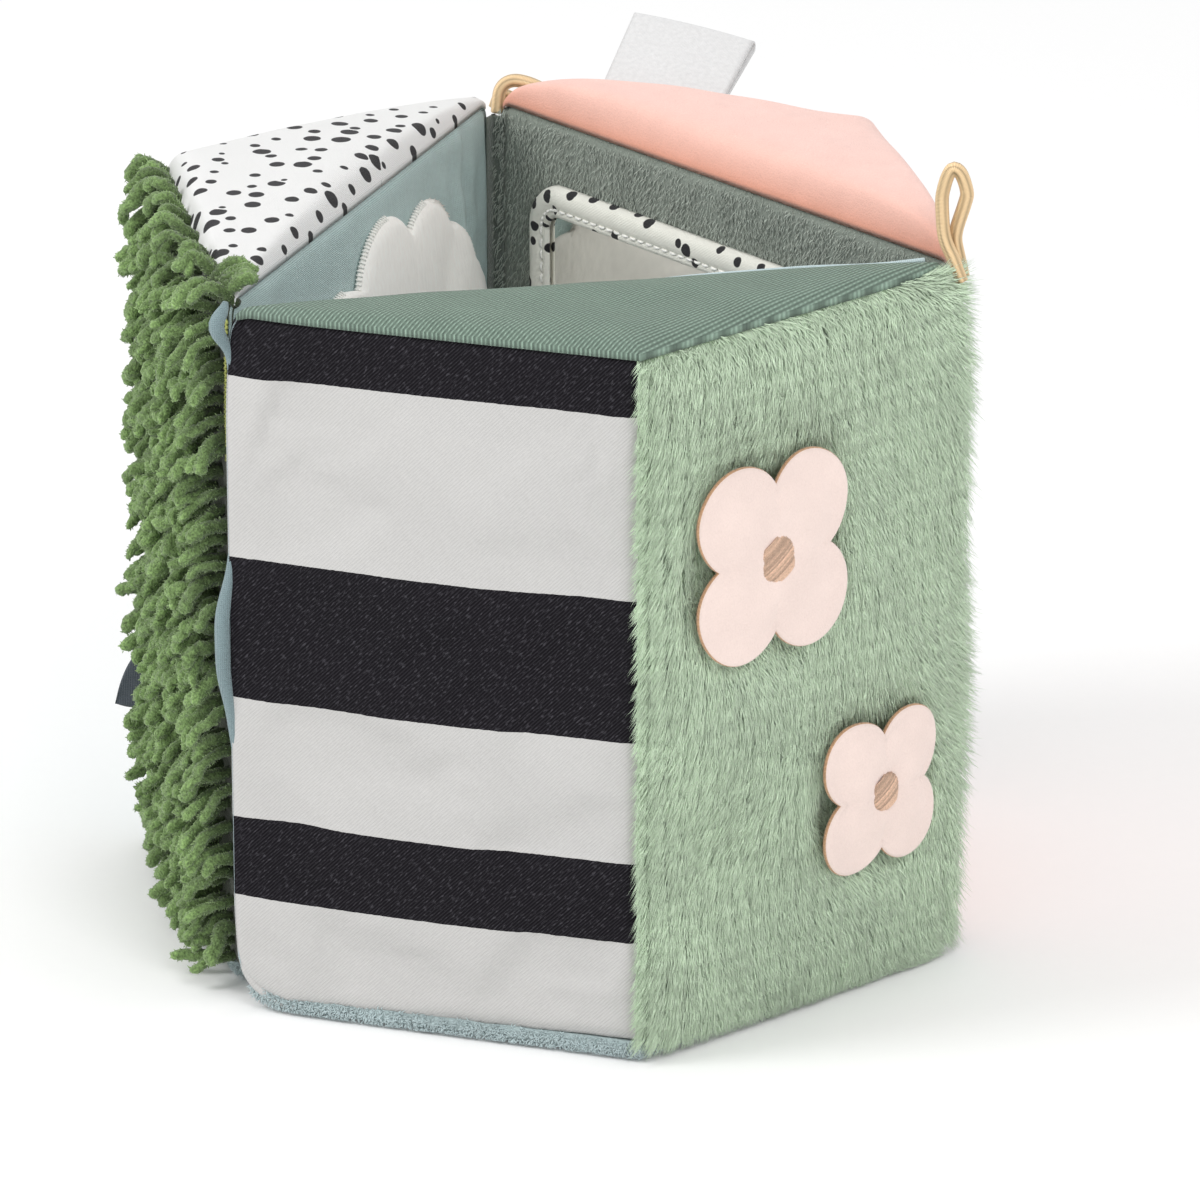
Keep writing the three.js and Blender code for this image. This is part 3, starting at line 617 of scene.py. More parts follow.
STRIPE_MARKS = [27.2, 46.4, 74.7, 107.5, 148.9]
stripes = stripe_finish()
green_twill = twill_finish()
dotted_cotton = dotted_finish("dotted_cotton", "#f6f6f5", 7.2, 0.7, 2.3)
frame_cotton = dotted_finish("cream_dotted_cotton", "#fbfaf0", 7.4, 1.0, 1.7)
teal_cloth = cloth_finish("dusty_teal_cloth", "#c2d8d6")
blue_cloth = cloth_finish("pale_blue_cloth", "#b9ccd0")
slate_cloth = cloth_finish("slate_cloth", "#4c545c")
ribbon_cloth = cloth_finish("white_ribbon", "#dcdcdc", 0.35, 0.00003, 0.012, 0.7)
# The pale blue inner cloth, darkened as a painted shade where it rolls out between the noodles and the
# stripes.
shaded_roll_cloth = cloth_finish("shaded_blue_cloth", "#84989c")
blue_edge = cloth_finish("pale_blue_edge", "#cbdde0")
base_fleece = fleece_finish("blue_grey_fleece", "#abbcbd")
grey_backing = fleece_finish("grey_green_backing", "#8d958b", 0.7)
# Plush for the hinge tapes, darker than the grey-green plush as a painted shade in the hinge corners.
hinge_shade_plush = fleece_finish("hinge_plush_painted_shade", "#727a72", 0.7)
sage_backing = fleece_finish("sage_backing", "#b0c8a5", 0.9)
cloud_backing = fleece_finish("white_fleece_backing", "#fffdf8", 0.9, 0.35, (1.0, 1.0, 0.3))
# Chenille backing, darkened as a painted shade in the gaps between the noodles.
shaded_grass_backing = fleece_finish("chenille_backing_painted_shade", "#28331c", 0.9)
grey_pile = pile_finish("grey_green_plush", "#bfc7bc", 0.8, 0.16, 0.14, 6.0, (1.6, 1.6, 0.45))
sage_pile = pile_finish("sage_fur", "#e7fdde", 0.8, 0.14, 0.08)
cloud_pile = pile_finish("white_fleece", "#fffcf6", 1.0, 0.03, 0.03)
base_fleece_pile = pile_finish("blue_grey_fleece_pile", "#c4d6d8", 0.75, 0.12, 0.06)
# Painted shade: the noodles are darkest at their roots, in the crevices against the backing.
grass_body = pile_finish("green_chenille", "#7f9c60", 0.12, 0.24, 0.1, 8.0, nap=0.6)
grass_fuzz = pile_finish("green_chenille_fuzz", "#9fbb80", 0.6, 0.25, 0.08, 8.0)
felt_face = felt_finish("peach_felt", "#eedad2", 0.025)
felt_edge = felt_finish("peach_felt_edge", "#c49a78", 0.25)
gold_thread = thread_finish("gold_thread", "#cfae96", 0.2, 0.35)
white_thread = thread_finish("white_thread", "#f6f5f0")
lime_thread = thread_finish("lime_thread", "#a9ae5c")
elastic = elastic_finish()
# Peach velour; its deeper seam colour is a painted shade where it bends into its seams.
peach_velour = noise_finish(
    "peach_velour", "#f6cdc2", (1 / (0.4 * MM), 5.0, 0.95, 1.04), (1 / (7 * MM), 3.0, -0.03, 0.03), 0.0002,
    seam="#eda78f", roughness=0.95, sheen=0.3,
)
mirror_film = noise_finish(
    "mirror_film", "#fbf9f4", (40.0, 2.0, 0.98, 1.0), None, 0.0006, 0.4, roughness=0.06, metallic=1.0,
)
foam = noise_finish("foam", "#efe8cf", (900.0, 4.0, 0.9, 1.05), None, 0.0004, roughness=1.0)


# Camera, floor and light

def aim(obj, target):
    """Turns an object's -Z axis towards a point."""
    way = np.array(target) - np.array(obj.location)
    obj.rotation_euler = (
        math.atan2(math.hypot(way[0], way[1]), -way[2]),
        0.0,
        math.atan2(-way[0], way[1]),
    )


def make_camera():
    a, e = math.radians(VIEW_AZIMUTH), math.radians(VIEW_ELEVATION)
    way = np.array([math.sin(a) * math.cos(e), -math.cos(a) * math.cos(e), math.sin(e)])
    data = bpy.data.cameras.new("camera")
    data.lens = VIEW_LENS
    data.sensor_width = SENSOR_WIDTH
    data.clip_start = CLIP_START
    camera = placed("camera", data, VIEW_TARGET + VIEW_DISTANCE * way)
    aim(camera, VIEW_TARGET)
    bpy.context.scene.camera = camera


def make_lamp(name, location, size, watts):
    data = bpy.data.lights.new(name, "AREA")
    data.shape = "DISK"
    data.size = size
    data.energy = watts
    aim(placed(name, data, location), LAMP_TARGET)


def make_sky():
    """White to the camera, and to mirrors, but a little darker as a light."""
    world = bpy.data.worlds.new("studio")
    world.use_nodes = True
    bpy.context.scene.world = world
    sky = Nodes(world.node_tree)
    rays = sky.node("LightPath").outputs
    seen = sky.math("MAXIMUM", rays["Is Camera Ray"], rays["Is Glossy Ray"], rays["Is Transmission Ray"])
    background = world.node_tree.nodes["Background"].inputs
    background["Color"].default_value = (1, 1, 1, 1)
    sky.fill(background["Strength"], sky.span(seen, 0.0, 1.0, WORLD_LIGHT, 1.0))


def make_floor():
    f = Finish("floor", specular=0.0)
    speckle = f.vary(f.noise(f.place(), 300.0, 2.0), 0.995, 1.0)
    f.set("Emission Color", (1, 1, 1, 1))
    f.set("Emission Strength", FLOOR_GLOW)
    mesh = bpy.data.meshes.new("floor")
    corners = [(x * FLOOR_HALF, y * FLOOR_HALF, -FLOOR_DROP) for x, y in ((-1, -1), (1, -1), (1, 1), (-1, 1))]
    mesh.from_pydata(corners, [], [(0, 1, 2, 3)])
    mesh.materials.append(f.done(f.shaded((FLOOR_WHITE, FLOOR_WHITE, FLOOR_WHITE, 1), speckle)))
    placed("floor", mesh)


bpy.context.scene.view_settings.view_transform = "Standard"
make_camera()
make_sky()
make_floor()
for lamp_name, lamp in LAMPS.items():
    make_lamp(lamp_name, **lamp)


# Elastic loops: routes from the hinge axis just above the hinge seam, as in the CAD source

ELASTIC_DIAMETER = 3.2
HINGE_SEAM_TOP = WEDGE_HEIGHT - 5.5
LOOP_FOOT = HINGE_SEAM_TOP + 2 * CLEARANCE
LOOP_STEPS = 90
LOOP_SIDES = 30
STRAND_DEPTH = 0.12
WINDING = 0.3
UPRIGHT_LOOP = [
    (1.2, -1.3, 0), (-0.1, -2.8, 5.5), (-1.2, -3.6, 8.5), (-2, -3.9, 11.5), (-2.7, -3.8, 17.3),
    (-2.8, -3.5, 20), (-2.2, -2.7, 23.7), (-1.4, -1.7, 25.4), (-0.3, -0.4, 24.1), (0.4, 0.7, 20),
    (0, 0.5, 17.3), (-1.5, -0.4, 11.5), (-2, -0.3, 8.5), (-1.8, 0.4, 5), (-1.2, 1.3, 0),
]
FOLDED_LOOP = [
    (2, 0, 0), (2.2, 0.8, 5.4), (3.6, 3, 7.5), (6.6, 5.7, 7.2), (10, 9, 5), (12.8, 12, 1.6),
    (13.8, 13.9, -2.2), (12.2, 14.3, -5.2), (8.8, 12.4, -5), (5, 9.5, -2), (2, 6.1, 1.6), (-0.2, 3, 3),
    (-1, 1.7, 0),
]


def elastic_loop(name, hinge, route):
    """A cord of six strands, laid along its route."""
    path = spline(np.array(route) + np.array([hinge, -DATUM_DEPTH, LOOP_FOOT]), LOOP_STEPS)
    angle = np.linspace(0, 2 * math.pi, LOOP_SIDES, endpoint=False)
    strands = np.abs(np.cos(3 * angle + 0.02 * np.arange(LOOP_STEPS + 1)[:, None])) ** 0.7
    points, faces = tube(path, ELASTIC_DIAMETER / 2, LOOP_SIDES, 1 - STRAND_DEPTH * (1 - strands))
    run = run_along(path)
    windings = np.repeat(run / WINDING, LOOP_SIDES)
    # tone is each point's depth between strands, for the painted shade in the grooves.
    values = {"along": np.r_[windings, 0, 0], "tone": np.r_[strands.ravel(), 1, 1]}
    cord = piece(name + "_cord", "mirror", points, faces, elastic, "gold_elastic", name, values, in_row=True)


elastic_loop("elastic_loop_upright", HALF, UPRIGHT_LOOP)
elastic_loop("elastic_loop_folded", -HALF, FOLDED_LOOP)


# Cover panels and foam

CROWNS = {
    "mirror": {"inner": 0.0, "outer": 2.0, "top": 7.5},
    "grass": {"inner": 3.5, "outer": 2.0, "top": 5.0},
    "stripe": {"inner": 4.0, "outer": 1.6, "top": 2.0},
}
# How full each lid is across and along, the depth and reach of its seam, and of the mirror lid's sag
LID_FULLNESS = {"mirror": (8, 6), "grass": (9, 2), "stripe": (4, 2)}
LID_WRINKLE = 0.25
LID_ROLL = (0.9, 1.5)
LID_SAG = (0.4, 0.3)
WRINKLE = 0.22
WRINKLE_LENGTH = 30.0
PUCKER = 0.2
PUCKER_LENGTH = 11.0
PUCKER_REACH = 9.0
SEAM_DIP = 1.0
SEAM_REACH = 1.6
SEAM_SHADE = 6.0
PANEL_GRID = (76, 96)
LID_GRID = (110, 44)
BASE_GRID = (90, 16)
FOAM_GRID = (36, 24)
FOAM_SLACK = 1.0
FOAM_END = 4.5
# Height and inset of a base's edge, from the floor up
BASE_LEVELS = [(0.0, 2.5), (0.35, 1.5), (1.0, 0.7), (1.9, 0.15), (2.8, 0.1), (3.5, 0.5), (4.0, 1.0)]
# Creases of the teal panel beside its hinge
TEAL_CREASE = {"along": 58.0, "wide": 15.0, "height": 140.0, "tall": 24.0, "depth": 0.9, "pitch": 9.5}

# Cloth simulation: covers pinned at their seams, cut a little large and pressed out from inside
PUFFED = {"mirror": ("left", "right"), "grass": ("inner", "right"), "stripe": ("inner", "right")}
SIM_COLUMNS = 40
SIM_ROWS = 44
SIM_FRAMES = 20
SIM_MASS = 0.2
SIM_STIFFNESS = 20
SIM_BENDING = 0.4
SIM_PRESSURE = 4.0
SIM_SLACK = 0.03
SIM_CAP = 0.9
folds = {}


def crown(face, station, rise, height):
    """Swell of a padded side over the middle of its panel."""
    s = np.abs(station)
    across = 1 - s**2 if face == "inner" else 1 - (2 * s - 1) ** 2
    return height * across * (1 - (2 * rise - 1) ** 4)


def simulate_cover(face):
    """Grid of how far a pressed-out cover panel stands off its plain crown, in millimetres."""
    stations = np.linspace(*SIDE_ENDS[face], SIM_COLUMNS + 1)
    station, rise = np.meshgrid(stations, np.linspace(0, 1, SIM_ROWS + 1))
    flat = side_surface(face, station, rise)
    mesh = bpy.data.meshes.new("cover")
    mesh.from_pydata((flat.reshape(-1, 3) * MM).tolist(), [], grid_faces(SIM_COLUMNS, SIM_ROWS).tolist())
    cover = placed("cover", mesh)
    edge = np.ones(flat.shape[:2], bool)
    edge[1:-1, 1:-1] = False
    pin = cover.vertex_groups.new(name="seam")
    pin.add(np.flatnonzero(edge.ravel()).tolist(), 1.0, "REPLACE")
    cloth = cover.modifiers.new("cloth", "CLOTH").settings
    cloth.vertex_group_mass = "seam"
    cloth.mass = SIM_MASS
    cloth.tension_stiffness = SIM_STIFFNESS
    cloth.compression_stiffness = SIM_STIFFNESS
    cloth.bending_stiffness = SIM_BENDING
    cloth.shrink_min = -SIM_SLACK
    cloth.use_pressure = True
    cloth.uniform_pressure_force = SIM_PRESSURE
    cloth.effector_weights.gravity = 0
    scene = bpy.context.scene
    for step in range(1, SIM_FRAMES + 1):
        scene.frame_set(step)
    settled = cover.evaluated_get(bpy.context.evaluated_depsgraph_get()).data
    moved = np.empty(len(settled.vertices) * 3, np.float32)
    settled.vertices.foreach_get("co", moved)
    scene.frame_set(1)
    bpy.data.objects.remove(cover)
    out = ((moved.reshape(flat.shape) / MM - flat) @ face_normal(face)).astype(float)
    plain = crown(face, station, rise, 1.0)
    return np.clip(out - plain * np.sum(out * plain) / np.sum(plain**2), -SIM_CAP, SIM_CAP)


def fold_relief(wedge, face, station, rise):
    """Simulated folds of a cover at any spot, between the grid's points."""
    if face not in PUFFED[wedge] or face not in folds:
        return 0 * station
    grid = folds[face]
    first, last = SIDE_ENDS[face]
    u = np.clip((station - first) / (last - first), 0, 1) * SIM_COLUMNS
    v = np.clip(rise, 0, 1) * SIM_ROWS
    i = np.minimum(u.astype(int), SIM_COLUMNS - 1)
    j = np.minimum(v.astype(int), SIM_ROWS - 1)
    ease = lambda t: t * t * (3 - 2 * t)
    a, b = ease(u - i), ease(v - j)
    fade = np.clip(np.minimum(u, SIM_COLUMNS - u) / 5, 0, 1) * np.clip(np.minimum(v, SIM_ROWS - v) / 4, 0, 1)
    low = grid[j, i] * (1 - a) + grid[j, i + 1] * a
    high = grid[j + 1, i] * (1 - a) + grid[j + 1, i + 1] * a
    return fade * (low * (1 - b) + high * b)


def eased(count):
    """Marks from 0 to 1 that crowd towards both ends."""
    u = np.linspace(0, 1, count + 1)
    return 0.4 * u + 0.6 * (0.5 - 0.5 * np.cos(math.pi * u))


def face_crown(wedge, face, station, rise):
    kind = "inner" if face == "inner" else "outer"
    return crown(face, station, rise, CROWNS[wedge][kind]) + fold_relief(wedge, face, station, rise)


def seam_roll(face, station, rise, wraps):
    """How far a panel rolls in at its seams. A panel that wraps round the tip has no seam there."""
    width = HALF if face == "inner" else SIDE_LENGTH
    height = SIDE_TOP - SIDE_FOOT
    s = np.abs(station)
    edges = [(1 - rise) * height, rise * height]
    if not wraps:
        edges.append((1 - s) * width)
    if face != "inner":
        edges.append(s * width)
    return -SEAM_DIP * np.max([bell(d, 0, SEAM_REACH) for d in edges], axis=0)


def relief(wedge, face, station, rise):
    """How far a cover panel stands out of its flat face: crown, wrinkles, puckers and rolled seams."""
    along, height = along_and_height(face, station, rise)
    seed = 10 * list(WEDGES).index(wedge) + list(SIDES).index(face)
    inside = np.clip(np.minimum(np.minimum(rise, 1 - rise), 1 - np.abs(station)) * 12, 0, 1)
    wrinkles = WRINKLE * inside * ripple(along, height * 0.6, seed, WRINKLE_LENGTH)
    from_seam = np.minimum(height - SIDE_FOOT, SIDE_TOP - height)
    gather = ripple(along, height * 0.2, seed + 50, PUCKER_LENGTH)
    puckers = PUCKER * np.exp(-from_seam / PUCKER_REACH) * gather
    if (wedge, face) == ("grass", "inner"):
        crease = TEAL_CREASE
        zone = bell(along, crease["along"], crease["wide"]) * bell(height, crease["height"], crease["tall"])
        wrinkles = wrinkles + crease["depth"] * zone * np.sin(along * 2 * math.pi / crease["pitch"])
    roll = seam_roll(face, station, rise, (wedge, face) == ("stripe", "right"))
    return face_crown(wedge, face, station, rise) + wrinkles + puckers + roll


def side_panel(wedge, face, node, material, slot):
    columns, rows = PANEL_GRID
    first, last = SIDE_ENDS[face]
    station, rise = np.meshgrid(first + (last - first) * eased(columns), eased(rows))
    outer = side_surface(face, station, rise, relief(wedge, face, station, rise))
    inner = side_surface(face, station, rise, face_crown(wedge, face, station, rise), COVER)
    values = weave_values(*along_and_height(face, station, rise), 2)
    sheet_piece(node + "_cloth", wedge, [outer, inner], material, slot, node, values)


def lid_relief(wedge, station, rise):
    """How far a top panel stands above its seam's plane. The mirror wedge's sags towards its obtuse edge."""
    flat = top_surface(station, rise)
    x, y = flat[..., 0], flat[..., 1]
    across, along = LID_FULLNESS[wedge]
    swell = CROWNS[wedge]["top"] * (1 - np.abs(station) ** along) * (1 - np.abs(2 * rise - 1) ** across)
    if wedge == "mirror":
        swell = swell * (1 - LID_SAG[0] * bell(station, 0, LID_SAG[1]) * np.clip(2 * rise - 1, 0, 1))
    edge = np.minimum(y, (outer_line(x, 0.0) - y) * math.cos(TIP_ANGLE))
    dip, reach = LID_ROLL
    seed = 70 + list(WEDGES).index(wedge)
    return swell - dip * bell(edge, 0, reach) + LID_WRINKLE * np.clip(edge / 6, 0, 1) * ripple(x, y, seed, 24)


def top_panel(wedge, material, slot):
    columns, rows = LID_GRID
    station, rise = np.meshgrid(2 * eased(columns) - 1, eased(rows))
    out = lid_relief(wedge, station, rise)
    outer = top_surface(station, rise, out)
    inner = top_surface(station, rise, out * 0.9, COVER)
    steps = np.linalg.norm(np.diff(outer, axis=0), axis=-1)
    over = np.concatenate([0 * steps[:1], np.cumsum(steps, axis=0)])
    values = weave_values(outer[..., 0], over, 2)
    # Nearness to the lid's inner seam, where the velour's colour deepens as a painted shade.
    values["seam"] = np.tile(np.exp(-over / SEAM_SHADE).ravel(), 2)
    node = wedge + "_top_panel"
    sheet_piece(node + "_cloth", wedge, [outer, inner], material, slot, node, values)


def base_panel(wedge):
    """Padded base: flat on the floor, its edge a soft roll."""
    columns, rows = BASE_GRID
    station, rise = np.meshgrid(2 * eased(columns) - 1, 1 - eased(rows))
    layers = [base_surface(station, rise, height, inset) for height, inset in BASE_LEVELS]
    node = wedge + "_base_panel"
    sheet_piece(node + "_cloth", wedge, layers, base_fleece, "blue_grey_fleece", node)


def foam_core(wedge):
    """Foam block just inside the cover, as rings from tip to tip."""
    depth = COVER + 2 * CLEARANCE
    scale = (half_width(depth) - FOAM_END) / (half_width(depth) - TIP_CUT)
    columns, rows = FOAM_GRID
    rises = eased(rows)
    rings = []
    for station in 2 * eased(columns) - 1:
        s = np.full_like(rises, station * scale)
        lines = []
        for face, kind in (("inner", "inner"), ("left" if station < 0 else "right", "outer")):
            swell = crown(face, s, rises, CROWNS[wedge][kind])
            lines.append(side_surface(face, s, rises, swell - FOAM_SLACK, depth))
        rings.append(np.concatenate([lines[0], lines[1][::-1]]))
    points = np.concatenate(rings + [rings[0].mean(0)[None], rings[-1].mean(0)[None]])
    node = wedge + "_foam_core"
    faces = ring_faces(len(rings), len(rings[0]), True)
    core = piece(node + "_block", wedge, points, faces, foam, "foam", node)


# Rolled edges of the striped wedge's cover. The rolled tip is given by its foot and top, its bumps as
# reach, height and width, and how far inside the tip it starts
EDGE_START = 0.93
EDGE_SINK = (0.4, 0.5)
EDGE_WAVE = 0.3
EDGE_RADII = (0.8, 0.5)
TURN_RADIUS = 1.3
TURN_INSET = 0.9
ROLL_ENDS = (44.0, 166.0)
ROLL_BUMPS = [(4.4, 86.0, 17.0), (4.2, 160.5, 4.5)]
ROLL_INSET = 0.8
ROLL_WAVE = 0.35
ROLL_RADIUS = (1.0, 0.22)


def edge_piece(name, face, path, radius, sides, material, slot):
    points, faces = tube(path, radius, sides)
    values = weave_values((points - face_middle(face)) @ face_along(face), points[:, 2])
    piece(name, "stripe", points, faces, material, slot, None, values)


def lid_edge():
    """The inner panel's turned-over edge, which peeks out above half of the top panel."""
    t = np.linspace(0, 1, 160)
    x = (t - EDGE_START) * (HALF - TIP_CUT)
    y = EDGE_WAVE * ripple(x, 0 * x, 440, 30) - EDGE_SINK[0]
    z = WEDGE_HEIGHT - EDGE_SINK[1] - t**3 + EDGE_WAVE * ripple(x, 0 * x, 441, 22)
    radius = EDGE_RADII[0] + (EDGE_RADII[1] - EDGE_RADII[0]) * t
    path = softened(surface_points(x, y, z))
    edge_piece("stripe_inner_edge", "inner", path, radius, 8, blue_edge, "pale_blue_cloth")


def tip_turn():
    """The striped panel's rounded edge where it wraps round the tip, from under the lower corner up."""
    corner = np.linspace(1 - FOOT_CORNER / HALF, 1, 24)
    station = np.r_[corner, np.ones(60)]
    rise = np.r_[np.zeros(24), np.linspace(0, 1, 61)[1:]]
    path = side_surface("right", station, rise, -TURN_INSET)
    path[:, 0] -= TURN_INSET
    edge_piece("stripe_panel_edge", "right", path, TURN_RADIUS, 14, stripes, "striped_twill")


def tip_roll():
    """The inner panel puffed out past the free tip, most at half its height and at its top."""
    z = np.linspace(*ROLL_ENDS, 100)
    reach = sum(size * bell(z, middle, width) for size, middle, width in ROLL_BUMPS) - ROLL_INSET
    reach = reach + ROLL_WAVE * ripple(z, 0 * z, 445, 20)
    rounded = np.sqrt(np.clip((ROLL_ENDS[1] + 1 - z) / 3, 0.05, 1))
    radius = (ROLL_RADIUS[0] + ROLL_RADIUS[1] * np.maximum(reach, 0)) * rounded
    path = surface_points(HALF - TIP_CUT + reach - radius, 0.3, z)
    edge_piece("stripe_inner_roll", "inner", path, radius, 14, shaded_roll_cloth, "pale_blue_cloth")


for face_name in SIDES:
    folds[face_name] = simulate_cover(face_name)
for wedge_name in WEDGES:
    foam_core(wedge_name)
    base_panel(wedge_name)
top_panel("mirror", peach_velour, "peach_plush")
top_panel("grass", dotted_cotton, "dotted_cotton")
top_panel("stripe", green_twill, "green_twill")
for panel in [
    ("mirror", "inner", "mirror_inner_panel", grey_backing, "grey_green_plush"),
    ("mirror", "left", "mirror_outer_left_panel", grey_backing, "grey_green_plush"),
    ("mirror", "right", "mirror_outer_right_panel", peach_velour, "peach_plush"),
    ("grass", "inner", "grass_inner_panel", teal_cloth, "dusty_teal_cloth"),
    ("grass", "right", "grass_outer_back_panel", teal_cloth, "dusty_teal_cloth"),
    ("grass", "left", "chenille_grass", shaded_grass_backing, "green_chenille"),
    ("stripe", "inner", "stripe_inner_panel", blue_cloth, "pale_blue_cloth"),
    ("stripe", "right", "stripe_panel", stripes, "striped_twill"),
    ("stripe", "left", "fur_panel", sage_backing, "sage_fur"),
]:
    side_panel(*panel)
lid_edge()
tip_turn()
tip_roll()


# Pile: fur, plush and fleece as separate fibres

TAPE_REACH = 5.0
FIBRE_FLOOR = 0.4
FIBRE_ROOF = 0.3
FIBRE_POINTS = 7
LONG_PILE = 2.0
PILE_SPILL = 0.6
PILE_SINK = 0.2
TAPE_LIFT = (0.6, 1.3)
CORNER_REACH = 9.0
CALM_REACH = 7.0
SEAM_TRIM = 0.45
# Fur is shortest within a flower's middle and grows to its full length over some way: radius, way, share
FLOWER_PRESS = (17.0, 8.0, 0.25)
BASE_BULGE = 2.2
BASE_CURVE = 1.3
INNER_SHARE = 0.4
LARGE_FLOWER = {"along": -15.2, "up": 112.0, "scale": 1.0, "squeeze": 0.95}
SMALL_FLOWER = {"along": 18.6, "up": 48.4, "scale": 0.8, "squeeze": 1.0}


# Sizes of each pile; stray and nap are angles in degrees, and nap depends on the place along and up
FUR = {
    "length": 8.4, "lift": 3.5, "radius": 0.12, "tuft": 4.6, "gather": 0.58, "stray": 11.0, "parting_shade": 1.0,
    "nap": lambda u, v: 0.45 * u + 30 * ripple(u, v, 91, 52), "material": sage_pile, "slot": "sage_fur",
}
PLUSH = {
    "length": 2.3, "lift": 0.9, "radius": 0.13, "tuft": 2.0, "gather": 0.3, "stray": 16.0, "parting_shade": 0.0,
    "nap": lambda u, v: 6 + 16 * ripple(u, v, 92, 40), "material": grey_pile, "slot": "grey_green_plush",
}
FLEECE = {
    "length": 1.3, "lift": 0.7, "radius": 0.16, "tuft": 1.8, "gather": 0.4, "stray": 70.0, "parting_shade": 0.0,
    "nap": lambda u, v: 0 * u, "material": base_fleece_pile, "slot": "blue_grey_fleece",
}
CLOUD_PILE = {
    "length": 2.5, "lift": 0.5, "radius": 0.13, "tuft": 3.0, "gather": 0.2, "stray": 14.0, "parting_shade": 0.0,
    "nap": lambda u, v: 20 * ripple(u, v, 94, 30), "material": cloud_pile, "slot": "white_fleece",
}


def fibre_piece(name, wedge, roots, middles, tips, outward, radius, tone, material, slot, in_row=False):
    """A piece of low three-sided fibres that taper to a tip, each with its tone."""
    count = len(roots)
    way = unit(tips - roots)
    across = unit(np.cross(way, outward))
    over = np.cross(across, way)
    ring = np.stack([across, FIBRE_ROOF * over, -across], axis=1) * radius
    points = np.concatenate([roots[:, None] + ring, middles[:, None] + 0.85 * ring, tips[:, None]], axis=1)
    first = FIBRE_POINTS * np.arange(count)[:, None]
    quads = [first + np.array([k, 3 + k, 3 + (k + 1) % 3, (k + 1) % 3]) for k in range(3)]
    ends = [first + np.array([3 + k, 6, 3 + (k + 1) % 3]) for k in range(3)]
    # along runs from root to tip, for the painted shade towards the root.
    along = np.tile([0, 0, 0, 0.55, 0.55, 0.55, 1.0], count)
    values = {"along": along, "tone": np.repeat(tone, FIBRE_POINTS)}
    faces = [np.concatenate(quads), np.concatenate(ends)]
    piece(name, wedge, points.reshape(-1, 3), faces, material, slot, None, values, in_row=in_row)


def clump(u, v, size, seed):
    """Middle of the tuft that each fibre belongs to."""
    table = np.random.default_rng(seed).uniform(0.1, 0.9, (64, 64, 2))
    i, j = np.floor(u / size).astype(int), np.floor(v / size).astype(int)
    pick = table[i % 64, j % 64]
    return (i + pick[:, 0]) * size, (j + pick[:, 1]) * size


def grow(name, wedge, spots, normals, right, u, v, style, seed, cover=1.0, lean=0.0, calm=0.0):
    """Grows fibres on spots. u runs along right and v up.

    cover shortens fibres, lean bends them over an edge and calm keeps them out of tufts."""
    local = np.random.default_rng(seed + 1)
    count = len(spots)
    turn = np.radians(style["nap"](u, v) + style["stray"] * local.normal(0, 1, count))[:, None]
    lay = unit(np.cos(turn) * DOWN + np.sin(turn) * right + lean)
    size = (style["length"] * local.uniform(0.65, 1.15, count) * cover)[:, None]
    lift = (style["lift"] * local.uniform(0.7, 1.15, count) * cover)[:, None] * (1 + 0.5 * calm)
    cu, cv = clump(u, v, style["tuft"], seed)
    to_tuft = (1 - calm) * style["gather"] * ((cu - u)[:, None] * right - (cv - v)[:, None] * DOWN)
    tips = spots + lay * size + normals * lift + to_tuft
    middles = spots + lay * size * 0.38 + normals * lift * 0.85 + 0.4 * to_tuft
    for end in (middles, tips):
        end[:, 2] = np.maximum(end[:, 2], FIBRE_FLOOR)
    patch = 0.5 + 0.22 * ripple(cu, cv, seed + 3, style["tuft"] * 3)
    # Painted shade: a fibre is darker the further it lies from its tuft's middle, as in the shade of a
    # parting.
    shade_at_partings = style["parting_shade"] * (np.hypot(cu - u, cv - v) / style["tuft"] - 0.4)
    tone = np.clip(patch + local.normal(0, 0.22, count) - shade_at_partings, 0, 1)
    fibre_piece(name, wedge, spots, middles, tips, normals, style["radius"], tone, style["material"],
                style["slot"])


def side_pile(name, wedge, face, count, style, seed, covered=None):
    """Pile over a side panel, leaning out over its seams. A long pile hangs round the panel's far edge."""
    local = np.random.default_rng(seed)
    station = {side: local.uniform(*sorted(SIDE_ENDS[side]), count) for side in SIDES}[face]
    rise = local.uniform(0.0, 1.0, count)
    along, height = along_and_height(face, station, rise)
    out = relief(wedge, face, station, rise) - PILE_SINK
    if (wedge, face) == ("mirror", "inner"):
        near = np.clip(1 - (HALF - np.abs(along)) / (TAPE_REACH + 1.0), 0, 1)
        out = np.where(near > 0, np.maximum(out, TAPE_LIFT[0] + TAPE_LIFT[1] * near**2), out)
    half = HALF if face == "inner" else SIDE_LENGTH / 2
    hangs = style["lift"] > LONG_PILE
    reach = 6.0 if hangs else 2.5
    corner = hangs * np.exp(-(half - along) / CORNER_REACH)
    calm = 0.8 * hangs * np.exp(-(half - along) / CALM_REACH)
    side_lean = np.exp(-(half - along) / reach) - np.exp(-(half + along) / reach)
    top_lean = np.exp(-(SIDE_TOP - height) / (2.5 + 4 * corner))
    right = face_along(face)
    lean = PILE_SPILL * (side_lean[:, None] * right - ((1.2 + 2.0 * corner) * top_lean)[:, None] * DOWN)
    seam = np.max([-side_lean, top_lean * (1 - corner), side_lean * (not hangs)], axis=0)
    cover = (covered(along, height) if covered else 1.0) * (1 - SEAM_TRIM * seam)
    spots = side_surface(face, station, rise, out)
    grow(name, wedge, spots, face_normal(face), right, along, height, style, seed, cover, lean, calm[:, None])


